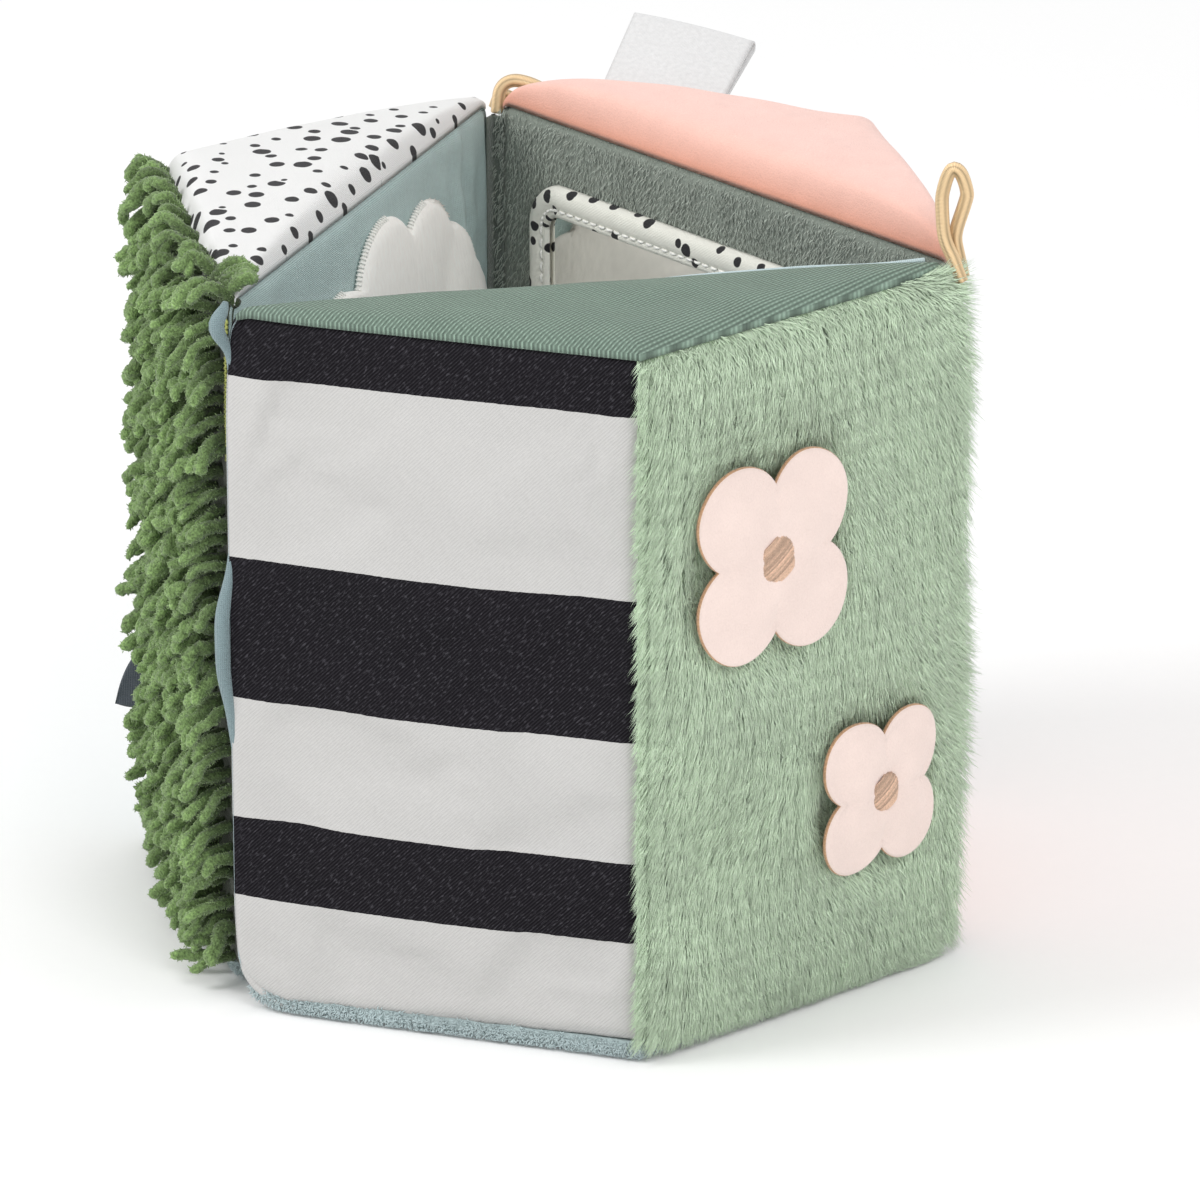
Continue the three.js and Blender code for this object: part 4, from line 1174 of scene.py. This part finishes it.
def under_flowers(along, height):
    """Length of the fur: short where a flower presses on it."""
    cover = np.ones(len(along))
    flat, fade, shortest = FLOWER_PRESS
    for place in (LARGE_FLOWER, SMALL_FLOWER):
        away = np.hypot(along - place["along"], height - place["up"]) / place["scale"]
        cover = np.minimum(cover, np.clip((away - flat) / fade, shortest, 1))
    return cover


def base_pile(wedge, count, seed):
    """Fleece on a base's rolled edge."""
    local = np.random.default_rng(seed)
    x = local.uniform(-1, 1, count) * (HALF - TIP_CUT)
    z = local.uniform(0.3, BASE_THICKNESS, count)
    inset = BASE_CURVE * (z / BASE_BULGE - 1) ** 2
    inner = local.uniform(0, 1, count) < INNER_SHARE
    spots = softened(np.stack([x, np.where(inner, inset, outer_line(x, inset)), z], axis=1))
    ways = np.where((x > 0)[:, None], face_normal("right"), face_normal("left"))
    ways = np.where(inner[:, None], face_normal("inner"), ways)
    grow(wedge + "_base_pile", wedge, spots, ways, np.cross(-DOWN, ways), x, z, FLEECE, seed)


for coat in range(5):
    side_pile(f"fur_pile_{coat}", "stripe", "left", 22000, FUR, 201 + 10 * coat, under_flowers)
for pile_name, pile_face, pile_seed in [
    ("mirror_inner_pile_0", "inner", 203),
    ("mirror_inner_pile_1", "inner", 213),
    ("mirror_outer_left_pile", "left", 205),
]:
    side_pile(pile_name, "mirror", pile_face, 20000, PLUSH, pile_seed)
for order, wedge_name in enumerate(WEDGES):
    base_pile(wedge_name, 7000, 230 + order)


# Chenille grass: bent fuzzy noodles hanging from the grass wedge's left outer face, made in the row frame

NOODLE_RADIUS = 1.35
NOODLE_COLUMNS = 16
NOODLE_ROWS = 36
NOODLE_RINGS = 22
NOODLE_SIDES = 12
NOODLE_BANDS = 4
NOODLE_REACH = (6.5, 11.5)
NOODLE_HANG = (4.0, 9.5)
SHORT_HANG = (0.5, 3.0)
SHORT_SHARE = 0.15
NOODLE_SWAY = 2.6
NOODLE_BEND = 0.4
TOP_START = 6.5
NOODLE_FUZZ = 120
FUZZ_RADIUS = 0.14
FUZZ_LENGTH = (0.15, 0.6)
# Shares of a noodle's reach, hang, sway and upward start at each mark along it
NOODLE_MARKS = [
    (-0.12, 0.0, 0.0, 0.0), (0.36, 0.1, 0.2, 0.7), (0.66, 0.36, 0.55, 1.0), (0.88, 0.68, 0.85, 0.9),
    (1.02, 1.0, 1.1, 0.7),
]
# Noodles that rise over the lid: station and length, and how far out and down each mark along them is
RAISED_NOODLES = [
    {
        "band": 0,
        "noodles": [(-0.005, 6.5), (-0.03, 7.5), (-0.06, 5.5), (-0.1, 6.5)],
        "marks": [(-0.1, 2.0), (0.15, -1.0), (0.45, -3.0), (0.8, -4.3), (1.0, -5.0)],
    },
    {
        "band": -1,
        "noodles": [(-0.9, 6.0), (-0.93, 7.5), (-0.955, 6.5), (-0.975, 7.0), (-0.992, 5.5)],
        "marks": [(0.1, 0.0), (0.15, -2.2), (-0.2, -4.6), (-0.6, -5.2), (-1.0, -4.6)],
    },
]


def noodle_path(root, normal, right, rise, local):
    """From the backing out, then down under its weight, each its own way; the top ones start upwards."""
    reach = local.uniform(*NOODLE_REACH)
    hang = local.uniform(*(SHORT_HANG if local.uniform() < SHORT_SHARE else NOODLE_HANG))
    sway = local.normal(0.0, NOODLE_SWAY)
    stretch = 0.1 * local.normal()
    top = np.clip((rise - 0.94) / 0.05, 0, 1)
    hang = min(hang, max(0.5, root[2] - 4.0)) * (1 - 0.4 * top)
    marks = []
    for out, fall, aside, start in NOODLE_MARKS:
        out = out + stretch if fall == 1 else out
        bend = local.normal(0, NOODLE_BEND, 3) if fall else 0
        drop = (fall * hang - start * TOP_START * top) * DOWN
        marks.append(root + out * reach * normal + drop + aside * sway * right + bend)
    path = spline(marks, NOODLE_RINGS - 1)
    path[:, 2] = np.maximum(path[:, 2], NOODLE_RADIUS + 0.6)
    return path


def noodle_swell(local):
    """Radius along a noodle: uneven like chenille, round at its end."""
    t = np.linspace(0, 1, NOODLE_RINGS)
    body = 1 + 0.07 * np.sin(13 * t + local.uniform(0, 6))
    return body * np.sqrt(np.clip(1 - np.clip((t - 0.84) / 0.17, 0, 1) ** 2, 0.08, 1))


def noodle(path, local):
    """One chenille noodle: its lumpy body with shading values, and the roots, tips and sides of its fuzz."""
    radius = NOODLE_RADIUS * local.uniform(0.75, 1.25) * noodle_swell(local)
    nap = local.normal(1, 0.11, (NOODLE_RINGS, NOODLE_SIDES))
    points, faces = tube(path, radius, NOODLE_SIDES, nap)
    tone = np.clip(local.normal(0.5, 0.22), 0, 1)
    # along runs from the noodle's root to its end, for the painted shade at its root.
    along = np.repeat(np.linspace(0.0, 1.0, NOODLE_RINGS), NOODLE_SIDES)
    # Painted light and shade: where a noodle swells out it is lighter, where it dents darker.
    grain = np.clip(tone + 3.0 * (nap.ravel() - 1), 0, 1)
    body = (points, faces, np.r_[along, 0, 1], np.r_[grain, tone, tone])
    k = local.uniform(3.0, NOODLE_RINGS - 1, NOODLE_FUZZ)
    low = np.minimum(k.astype(int), NOODLE_RINGS - 2)
    step = path[low + 1] - path[low]
    middle = path[low] + (k - low)[:, None] * step
    way = unit(step)
    out = local.normal(0, 1, (NOODLE_FUZZ, 3))
    out = unit(out - 0.85 * way * np.sum(out * way, axis=1, keepdims=True))
    width = np.interp(k, np.arange(NOODLE_RINGS), radius)[:, None]
    tips = middle + out * (width + local.uniform(*FUZZ_LENGTH, (NOODLE_FUZZ, 1))) + 0.3 * way
    shade = np.clip(tone + local.normal(0, 0.25, NOODLE_FUZZ), 0, 1)
    return body, (middle + out * width * 0.85, tips, np.cross(out, way), shade)


def noodle_pieces(band, noodles):
    """Makes one piece of the noodles' bodies and one of their fuzz."""
    points, faces = join([body[:2] for body, _ in noodles])
    along, tone = (np.concatenate([body[k] for body, _ in noodles]) for k in (2, 3))
    piece(f"grass_noodles_{band}", "grass", points, faces, grass_body, "green_chenille",
          values={"along": along, "tone": tone}, in_row=True)
    roots, tips, outs, tone = (np.concatenate([fuzz[k] for _, fuzz in noodles]) for k in range(4))
    fibre_piece(f"grass_fuzz_{band}", "grass", roots, (roots + tips) / 2, tips, outs, FUZZ_RADIUS, tone,
                grass_fuzz, "green_chenille", True)


def chenille_grass():
    local = np.random.default_rng(301)
    turned = lambda way: to_row(way, "grass") - to_row(np.zeros(3), "grass")
    normal, right = turned(face_normal("left")), turned(face_along("left"))
    bands = [[] for _ in range(NOODLE_BANDS)]
    for row in range(NOODLE_ROWS):
        for column in range(NOODLE_COLUMNS):
            shift = 0.25 if row % 2 else -0.25
            station = -np.clip((column + 0.5 + shift + local.normal(0, 0.22)) / NOODLE_COLUMNS, 0.012, 0.988)
            rise = np.clip((row + 0.9 + local.normal(0, 0.25)) / (NOODLE_ROWS + 0.1), 0.02, 0.995)
            s, r = np.array([station]), np.array([rise])
            root = to_row(side_surface("left", s, r, relief("grass", "left", s, r)), "grass")[0]
            path = noodle_path(root, normal, right, rise, local)
            bands[int(-station * NOODLE_BANDS)].append(noodle(path, local))
    for group in RAISED_NOODLES:
        for station, length in group["noodles"]:
            root = to_row(side_surface("left", np.array([station]), np.array([1.0])), "grass")[0]
            marks = [root + length * out * normal + fall * DOWN + local.normal(0, 0.3, 3)
                     for out, fall in group["marks"]]
            bands[group["band"]].append(noodle(spline(marks, NOODLE_RINGS - 1), local))
    for band, noodles in enumerate(bands):
        noodle_pieces(band, noodles)


def tip_stitches():
    """Overlocked seam that shows between the noodles at the grass wedge's free tip."""
    count = 60
    rise = np.linspace(0.76, 0.97, count)
    station = np.where(np.arange(count) % 2, -0.975, -1.0)
    path = spline(side_surface("left", station, rise, 0.4), 6 * count)
    stitch_piece("grass_tip_stitches", "grass", [path], 0.3, lime_thread, "green_chenille")


chenille_grass()
tip_stitches()


# Sewn-on shapes, given by how far their outline is from a middle point in each direction

PATCH_SIDES = 168
FUR_PILE = 5.0
FLOWER_THICKNESS = 1.8
PETAL_RADIUS = 12.4
PETAL_OFFSET = 14.6
FLOWER_CENTRE = (10.4, 10.9)
SATIN_SLANT = math.radians(34)
SATIN_SPACING = 0.42
SATIN_RADIUS = 0.25
SATIN_POINTS = 9
CLOUD_LOBES = [(-21, 127, 19.5), (6.8, 135.6, 20.3), (33.2, 133.8, 18.5), (42.7, 122.2, 22), (56, 112, 20)]
CLOUD_MIDDLE = np.mean(CLOUD_LOBES, axis=0)[:2]
CLOUD_FOOT = 74.0
CLOUD_THICKNESS = 3.0
CLOUD_FIBRES = 30000
CLOUD_FLUFF = 1.0
CLOUD_STITCHED = (math.radians(70), math.radians(200))
STITCH_PITCH = 1.05
STITCH_RADIUS = 0.22
STITCH_OUT = np.array([0.4, 0.25, 0.0, -0.35, -0.7])
STITCH_LIFT = CLEARANCE + np.array([0.1, 0.5, 0.95, 1.25, 1.1])


def far_side(angle, x, y, radius):
    """Distance from the origin to the far side of a circle in each direction, or 0 where it is missed."""
    ahead = x * np.cos(angle) + y * np.sin(angle)
    aside = x * np.sin(angle) - y * np.cos(angle)
    return np.where(np.abs(aside) < radius, ahead + np.sqrt(np.maximum(radius**2 - aside**2, 0)), 0)


def round_middle(reach, angle):
    """Points at a reach in each direction."""
    return np.stack([reach * np.cos(angle), reach * np.sin(angle)], axis=-1)


def fur_plateau(station, rise):
    """Share of its full height that the fur has: it falls off at the panel's seams."""
    return (1 - np.abs(2 * np.abs(station) - 1) ** 6) * (1 - np.abs(2 * rise - 1) ** 6)


def on_panel(wedge, face, along, height, lift, fur=False):
    """Points that stand off a cover panel, or off its fur."""
    station, rise = face_to_uv(face, along, height)
    out = face_crown(wedge, face, station, rise) + lift
    if fur:
        out = out + FUR_PILE * fur_plateau(station, rise)
    spot = face_middle(face) + np.asarray(along)[..., None] * face_along(face)
    spot[..., 2] = height
    return softened(spot + np.asarray(out)[..., None] * face_normal(face))


def on_fur(place, x, y, lift):
    return on_panel("stripe", "left", place["along"] + x, place["up"] + y, lift + CLEARANCE, True)


def on_teal(x, y, lift):
    return on_panel("grass", "inner", x, y, lift)


def patch(outline, profile):
    """x, y, lift and faces of a sewn-on shape, from its middle over the top to its underside.

    outline(angle) gives its reach; profile lists (share of the reach, inset, lift)."""
    angle = np.linspace(0, 2 * math.pi, PATCH_SIDES, endpoint=False)
    share, inset, lift = np.array(profile, float).T
    radius = np.maximum(share[1:-1, None] * outline(angle) - inset[1:-1, None], 0.05)
    spots = round_middle(radius, angle).reshape(-1, 2)
    lift = np.r_[np.repeat(lift[1:-1], PATCH_SIDES), lift[0], lift[-1]]
    x, y = np.concatenate([spots, np.zeros((2, 2))]).T
    return x, y, lift, ring_faces(len(profile) - 2, PATCH_SIDES, True)


def flower(name, place):
    """Felt flower of four petals with a heat-cut edge."""
    offset = PETAL_OFFSET * place["scale"]
    ways = [math.pi / 4 + k * math.pi / 2 for k in range(4)]
    outline = lambda angle: np.max([
        far_side(angle, offset * math.cos(way), offset * math.sin(way), PETAL_RADIUS * place["scale"])
        for way in ways
    ], axis=0)
    top = FLOWER_THICKNESS
    profile = [(0, 0, top - 0.5)]
    for share in np.linspace(0.12, 0.84, 9):
        profile.append((share, 0, top - 0.5 + 0.9 * math.sin(math.pi * min(1, share / 0.9)) ** 2))
    profile += [(1, 1.6, top - 0.15), (1, 0.7, top - 0.35), (1, 0.2, top - 0.7)]
    edge_start = len(profile) - 2
    profile += [(1, 0, top - 1.0), (1, 0, 0.35), (1, 0.5, 0.0), (0.5, 0, 0.0), (0, 0, 0.0)]
    x, y, lift, (quads, ends) = patch(outline, profile)
    lift = lift + 0.35 * ripple(x, y, 400 + int(place["up"]), 22)
    points = on_fur(place, place["squeeze"] * x, y, lift)
    indices = np.zeros(len(quads) + len(ends), int)
    indices[edge_start * PATCH_SIDES:len(quads)] = 1
    piece(name + "_felt", "stripe", points, [quads, ends], [felt_face, felt_edge], "peach_felt", name,
          indices=indices)


def flower_centre(name, place):
    """Embroidered oval: slanted satin stitches side by side, each between the oval's two sides."""
    half = np.array(FLOWER_CENTRE) * place["scale"] / 2
    way = np.array([math.cos(SATIN_SLANT), math.sin(SATIN_SLANT)])
    across = np.array([-way[1], way[0]])
    hump = np.sin(np.linspace(0, math.pi, SATIN_POINTS)) ** 0.5
    count = int(half[1] * 2.2 / SATIN_SPACING)
    local = np.random.default_rng(410)
    paths, tones = [], []
    for k in range(-count // 2, count // 2 + 1):
        offset = k * SATIN_SPACING * across
        a = np.sum((way / half) ** 2)
        b = 2 * np.sum(offset * way / half**2)
        c = np.sum((offset / half) ** 2) - 1
        root = b * b - 4 * a * c
        if root <= 0.02:
            continue
        start = (-b - math.sqrt(root)) / (2 * a) - local.uniform(0, 0.3)
        end = (-b + math.sqrt(root)) / (2 * a) + local.uniform(0, 0.3)
        spot = offset + np.linspace(start, end, SATIN_POINTS)[:, None] * way
        paths.append(on_fur(place, spot[:, 0], spot[:, 1], FLOWER_THICKNESS - 0.35 + 0.75 * hump))
        tones.append(local.uniform())
    values = {"tone": np.repeat(tones, 6 * SATIN_POINTS + 2)}
    stitch_piece(name + "_stitches", "stripe", paths, SATIN_RADIUS, gold_thread, "gold_thread", name, values)


def cloud_outline(angle):
    """Round lobes above a flat foot."""
    x, y = CLOUD_MIDDLE
    reach = np.max([far_side(angle, a - x, b - y, r) for a, b, r in CLOUD_LOBES], axis=0)
    below = np.sin(angle) < 0
    foot = (CLOUD_FOOT - y) / np.minimum(np.sin(angle), -1e-6)
    foot_x = x + foot * np.cos(angle)
    over_foot = below & (foot_x > CLOUD_LOBES[0][0]) & (foot_x < CLOUD_LOBES[-1][0])
    return np.where(over_foot, foot, np.where(below, np.minimum(reach, foot), reach))


def cloud_lift(x, y):
    """Padded lobes with creases between them."""
    height = np.zeros(len(x))
    for a, b, r in CLOUD_LOBES:
        away = np.hypot(x - a, y - b) / r
        height = np.maximum(height, np.sqrt(np.maximum(0, 1 - np.minimum(away, 1) ** 2)))
    return CLOUD_THICKNESS * (0.45 + 0.55 * height)


def cloud_body():
    profile = [(0, 0, 1)] + [(share, 0, 1) for share in np.linspace(0.08, 0.92, 12)]
    profile += [(1, 1.2, 0.85), (1, 0.4, 0.6), (1, 0, 0.35), (1, 0.2, 0), (0.5, 0, 0), (0, 0, 0)]
    x, y, share, faces = patch(cloud_outline, profile)
    x, y = x + CLOUD_MIDDLE[0], y + CLOUD_MIDDLE[1]
    points = on_teal(x, y, CLEARANCE + share * cloud_lift(x, y))
    piece("cloud_applique_body", "grass", points, faces, cloud_backing, "white_fleece", "cloud_applique")


def cloud_fluff():
    """Short fibres along the part of the cloud's outline that isn't stitched."""
    local = np.random.default_rng(420)
    angle = local.uniform(0, 2 * math.pi, CLOUD_FIBRES)
    share = np.sqrt(local.uniform(0, 1, CLOUD_FIBRES))
    reach = cloud_outline(angle)
    inset = (1 - share) * reach
    kept = (inset < CLOUD_FLUFF) & ~((angle > CLOUD_STITCHED[0]) & (angle < CLOUD_STITCHED[1]))
    angle, share, reach, inset = angle[kept], share[kept], reach[kept], inset[kept]
    x, y = (CLOUD_MIDDLE + round_middle(share * reach, angle)).T
    lift = CLEARANCE + np.clip(inset / 1.5, 0.3, 1) * cloud_lift(x, y) - 0.2
    right = face_along("inner")
    lean = 0.9 * (np.cos(angle)[:, None] * right - np.sin(angle)[:, None] * DOWN)
    spots = on_teal(x, y, lift)
    grow("cloud_pile", "grass", spots, face_normal("inner"), right, x, y, CLOUD_PILE, 421, 1.0, lean)


def cloud_stitches():
    angle = np.linspace(*CLOUD_STITCHED, 4000)
    edge = round_middle(cloud_outline(angle), angle)
    run = run_along(edge)
    along_edge = unit(np.gradient(edge, axis=0))
    outward = np.stack([along_edge[:, 1], -along_edge[:, 0]], axis=1)
    paths = []
    for k in np.searchsorted(run, np.arange(0, run[-1], STITCH_PITCH)):
        if outward[k][0] <= 0.1:
            spot = CLOUD_MIDDLE + edge[k] + STITCH_OUT[:, None] * outward[k]
            paths.append(on_teal(spot[:, 0], spot[:, 1], STITCH_LIFT))
    stitch_piece("cloud_stitches", "grass", paths, STITCH_RADIUS, white_thread, "white_fleece")


for flower_name, flower_place in (("flower_large", LARGE_FLOWER), ("flower_small", SMALL_FLOWER)):
    flower(flower_name, flower_place)
    flower_centre(flower_name + "_centre", flower_place)
cloud_body()
cloud_fluff()
cloud_stitches()


# Mirror and its frame

FRAME_SIZE = (INNER_WIDTH - 2 * 16.5, WEDGE_HEIGHT - 2 * 17.0)
FRAME_CORNER = 11.0
FRAME_WIDTH = 7.5
FRAME_STEPS = 260
FRAME_GATHER = 0.16
# Inset and lift of the frame's soft roll, its stitched groove and its lip
FRAME_PROFILE = [
    (0.0, 0.35), (0.15, 1.4), (0.7, 2.5), (1.7, 3.1), (2.9, 3.3), (4.1, 3.2), (5.0, 2.9), (5.5, 2.45),
    (5.9, 2.75), (6.5, 2.85), (7.1, 2.6), (7.45, 2.1), (7.5, 1.75), (6.6, 1.75), (4.6, 1.7), (4.5, 0.35),
]
GROOVE_INSET, GROOVE_LIFT = 5.5, 2.45
GROOVE_STEPS = 2000
FRAME_STITCH = {"pitch": 2.9, "length": 2.2, "radius": 0.36, "points": 7, "hump": 0.45}


def rounded_path(inset, steps):
    """Points round the frame at an inset, evenly stepped, and the length of its outline."""
    r = FRAME_CORNER
    a, b = FRAME_SIZE[0] / 2 - r, FRAME_SIZE[1] / 2 - r
    sides = [2 * b, math.pi / 2 * r, 2 * a, math.pi / 2 * r] * 2
    total = sum(sides)
    mark = np.linspace(0, total, steps, endpoint=False)
    k = np.searchsorted(np.cumsum(sides), mark)
    left = np.cumsum(sides)[k] - mark
    turn = (k + 1) // 2 * math.pi / 2 - np.where(k % 2, left / r, 0)
    way = round_middle(1.0, turn)
    middle = np.array([(a, b), (-a, b), (-a, -b), (a, -b)])[k // 2]
    back = np.where(k % 2, 0, left)[:, None] * np.stack([way[:, 1], -way[:, 0]], axis=1)
    return middle + (r - inset) * way + back, total


def on_mirror_face(spots, lift):
    """Points on the mirror wedge's inner face, from the middle of its mirror."""
    return surface_points(spots[:, 0], -np.asarray(lift), WEDGE_HEIGHT / 2 + spots[:, 1])


def frame_binding():
    """Bound fabric frame: a soft roll with a stitched inner lip."""
    grid = []
    for inset, lift in FRAME_PROFILE:
        spots, total = rounded_path(inset, FRAME_STEPS)
        run = np.arange(FRAME_STEPS) * total / FRAME_STEPS
        swell = math.sin(math.pi * min(1, inset / FRAME_WIDTH))
        gather = FRAME_GATHER * ripple(run, 0 * run, 431, 7.0) * swell
        grid.append(on_mirror_face(spots, lift + gather * (lift > 1.8)))
    a = np.arange(len(grid) * FRAME_STEPS).reshape(len(grid), FRAME_STEPS)
    b = np.roll(a, -1, axis=1)
    quads = np.stack([a, b, np.roll(b, -1, axis=0), np.roll(a, -1, axis=0)], -1).reshape(-1, 4)
    values = weave_values(run, run_along(FRAME_PROFILE)[:, None])
    piece("mirror_frame_binding", "mirror", np.concatenate(grid), [quads], frame_cotton,
          "cream_dotted_cotton", "mirror_frame", values)


def frame_stitches():
    spots, total = rounded_path(GROOVE_INSET, GROOVE_STEPS)
    pitch, count = FRAME_STITCH["pitch"], FRAME_STITCH["points"]
    length = int(GROOVE_STEPS * FRAME_STITCH["length"] / total)
    lift = GROOVE_LIFT + FRAME_STITCH["hump"] * np.sin(np.linspace(0, math.pi, count)) ** 0.6
    paths = []
    for k in range(int(total / pitch)):
        start = int(GROOVE_STEPS * (k + 0.12) * pitch / total)
        marks = np.linspace(start, start + length, count).astype(int) % GROOVE_STEPS
        paths.append(on_mirror_face(spots[marks], lift))
    stitch_piece("mirror_frame_stitches", "mirror", paths, FRAME_STITCH["radius"], white_thread,
                 "cream_dotted_cotton")


frame_binding()
frame_stitches()
mirror_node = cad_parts["mirror_sheet"]
mirror_node.data.materials.clear()
mirror_node.data.materials.append(mirror_film)


# Folded ribbon label, leaf tab and hinge tapes

LABEL_WIDTH = 30.0
LABEL_LENGTH = 31.0
LABEL_RISE = math.radians(24)
LABEL_FABRIC = 0.6
LABEL_FOLD = 3.0
LABEL_ALONG = 7.6
LABEL_TWIST = math.radians(8)
LEAF_LENGTH = 15.0
LEAF_ROOT = 16.0
LEAF_HEIGHT = 32.0
LEAF_THICKNESS = 0.6
TAPE_FOOT = 13.0
TAPE_THICKNESS = 0.9
TAPE_BLEND = 2.0


def side_label():
    """A ribbon folded double at its outer end, both ends sewn into the top seam."""
    half = (LABEL_FOLD - LABEL_FABRIC) / 2
    straight = LABEL_LENGTH - LABEL_FOLD / 2
    lower = [(t * straight, -0.3 - (half - 0.3) * t) for t in np.linspace(0, 1, 16)]
    bend = [(straight + half * math.cos(a), half * math.sin(a)) for a in np.linspace(-1.4, 1.4, 11)]
    line = np.array(lower + bend + [(x, -y) for x, y in lower[::-1]])
    way = unit(np.gradient(line, axis=0))
    aside = np.stack([-way[:, 1], way[:, 0]], axis=1)
    across = np.linspace(-LABEL_WIDTH / 2, LABEL_WIDTH / 2, 25)
    normal, along = face_normal("left"), face_along("left")
    free = line[:, :1] / LABEL_LENGTH
    curl = free * (0.5 * (across / LABEL_WIDTH * 2) ** 2 - math.tan(LABEL_TWIST) * across)
    layers = []
    for thickness in (-LABEL_FABRIC / 2, LABEL_FABRIC / 2):
        x, y = (line + thickness * aside).T
        out = x * math.cos(LABEL_RISE) - y * math.sin(LABEL_RISE) + 2 * CLEARANCE
        rise = x * math.sin(LABEL_RISE) + y * math.cos(LABEL_RISE)
        p = face_middle("left") + out[:, None, None] * normal + (LABEL_ALONG + across)[:, None] * along
        p[..., 2] = WEDGE_HEIGHT - COVER / 2 + rise[:, None] - curl
        layers.append(p)
    run = run_along(line)
    label = sheet_piece("side_label_ribbon", "mirror", layers, ribbon_cloth, "white_ribbon", "side_label",
                        weave_values(across, run[:, None], 2))


def leaf_tab():
    """A pointed cloth leaf sewn into the grass wedge's obtuse edge."""
    t, v = np.meshgrid(np.linspace(0, 1, 22), np.linspace(0, 1, 13))
    tip = np.array([LEAF_LENGTH, 0.0])
    shares = [((1 - t) ** 2)[..., None], (2 * t * (1 - t))[..., None], (t**2)[..., None]]
    curve = lambda root, middle: shares[0] * np.array(root) + shares[1] * np.array(middle) + shares[2] * tip
    low = curve((0, LEAF_ROOT / 4), (LEAF_LENGTH / 2, -LEAF_ROOT / 8))
    high = curve((0, LEAF_ROOT * 1.25), (LEAF_LENGTH * 0.8, LEAF_ROOT))
    spot = low + v[..., None] * (high - low)
    thick = LEAF_THICKNESS * np.sqrt(np.maximum(0.02, 1 - (2 * v - 1) ** 4))
    bow = 0.5 * np.sin(math.pi * v) * t
    y, z = WEDGE_DEPTH + CLEARANCE + spot[..., 0], LEAF_HEIGHT + spot[..., 1]
    layers = [surface_points(side * thick + bow, y, z) for side in (1, -1)]
    sheet_piece("leaf_tab_cloth", "grass", layers, slate_cloth, "slate_cloth", "leaf_tab",
                weave_values(spot[..., 0], spot[..., 1], 2))


def hinge_tape(node, wedge, sign):
    """Plush tape sewn to two wedges' inner faces, with a soft fold on the hinge axis."""
    axis = np.array([sign * HALF, -DATUM_DEPTH, 0.0])
    mirror_way = np.array([-sign, 0.0, 0.0])
    turn = math.radians(WEDGES[wedge]["turn"])
    other_way = np.array([sign * math.cos(turn), sign * math.sin(turn), 0.0])
    other_way = other_way if other_way @ mirror_way > 0 else -other_way
    inward = unit(mirror_way + other_way)
    line = []
    for k in np.linspace(-1, 1, 15):
        way = mirror_way if k < 0 else other_way
        out = unit(inward - way * (inward @ way))
        near = 1 - abs(k)
        line.append(axis + TAPE_REACH * abs(k) * way + (0.5 + 0.3 * near) * out + 1.1 * near**2 * inward)
    line = np.array(line)
    heights = -DOWN * np.linspace(TAPE_FOOT, HINGE_SEAM_TOP, 60)[:, None, None]
    points, quads = shell([line + heights, line - TAPE_THICKNESS * inward + heights])
    quads = quads[:, ::-1] if sign < 0 else quads
    tape = piece(node + "_tape", None, points, [quads], hinge_shade_plush, "grey_green_plush", node, in_row=True)
    middle = np.array([axis[0], axis[1], WEDGE_HEIGHT / 2])
    start, end = (tuple((middle + TAPE_BLEND * way) * MM) for way in (mirror_way, other_way))
    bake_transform(tape)
    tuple(start)
    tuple(end)


side_label()
leaf_tab()
hinge_tape("hinge_seam_left", "grass", -1)
hinge_tape("hinge_seam_right", "stripe", 1)
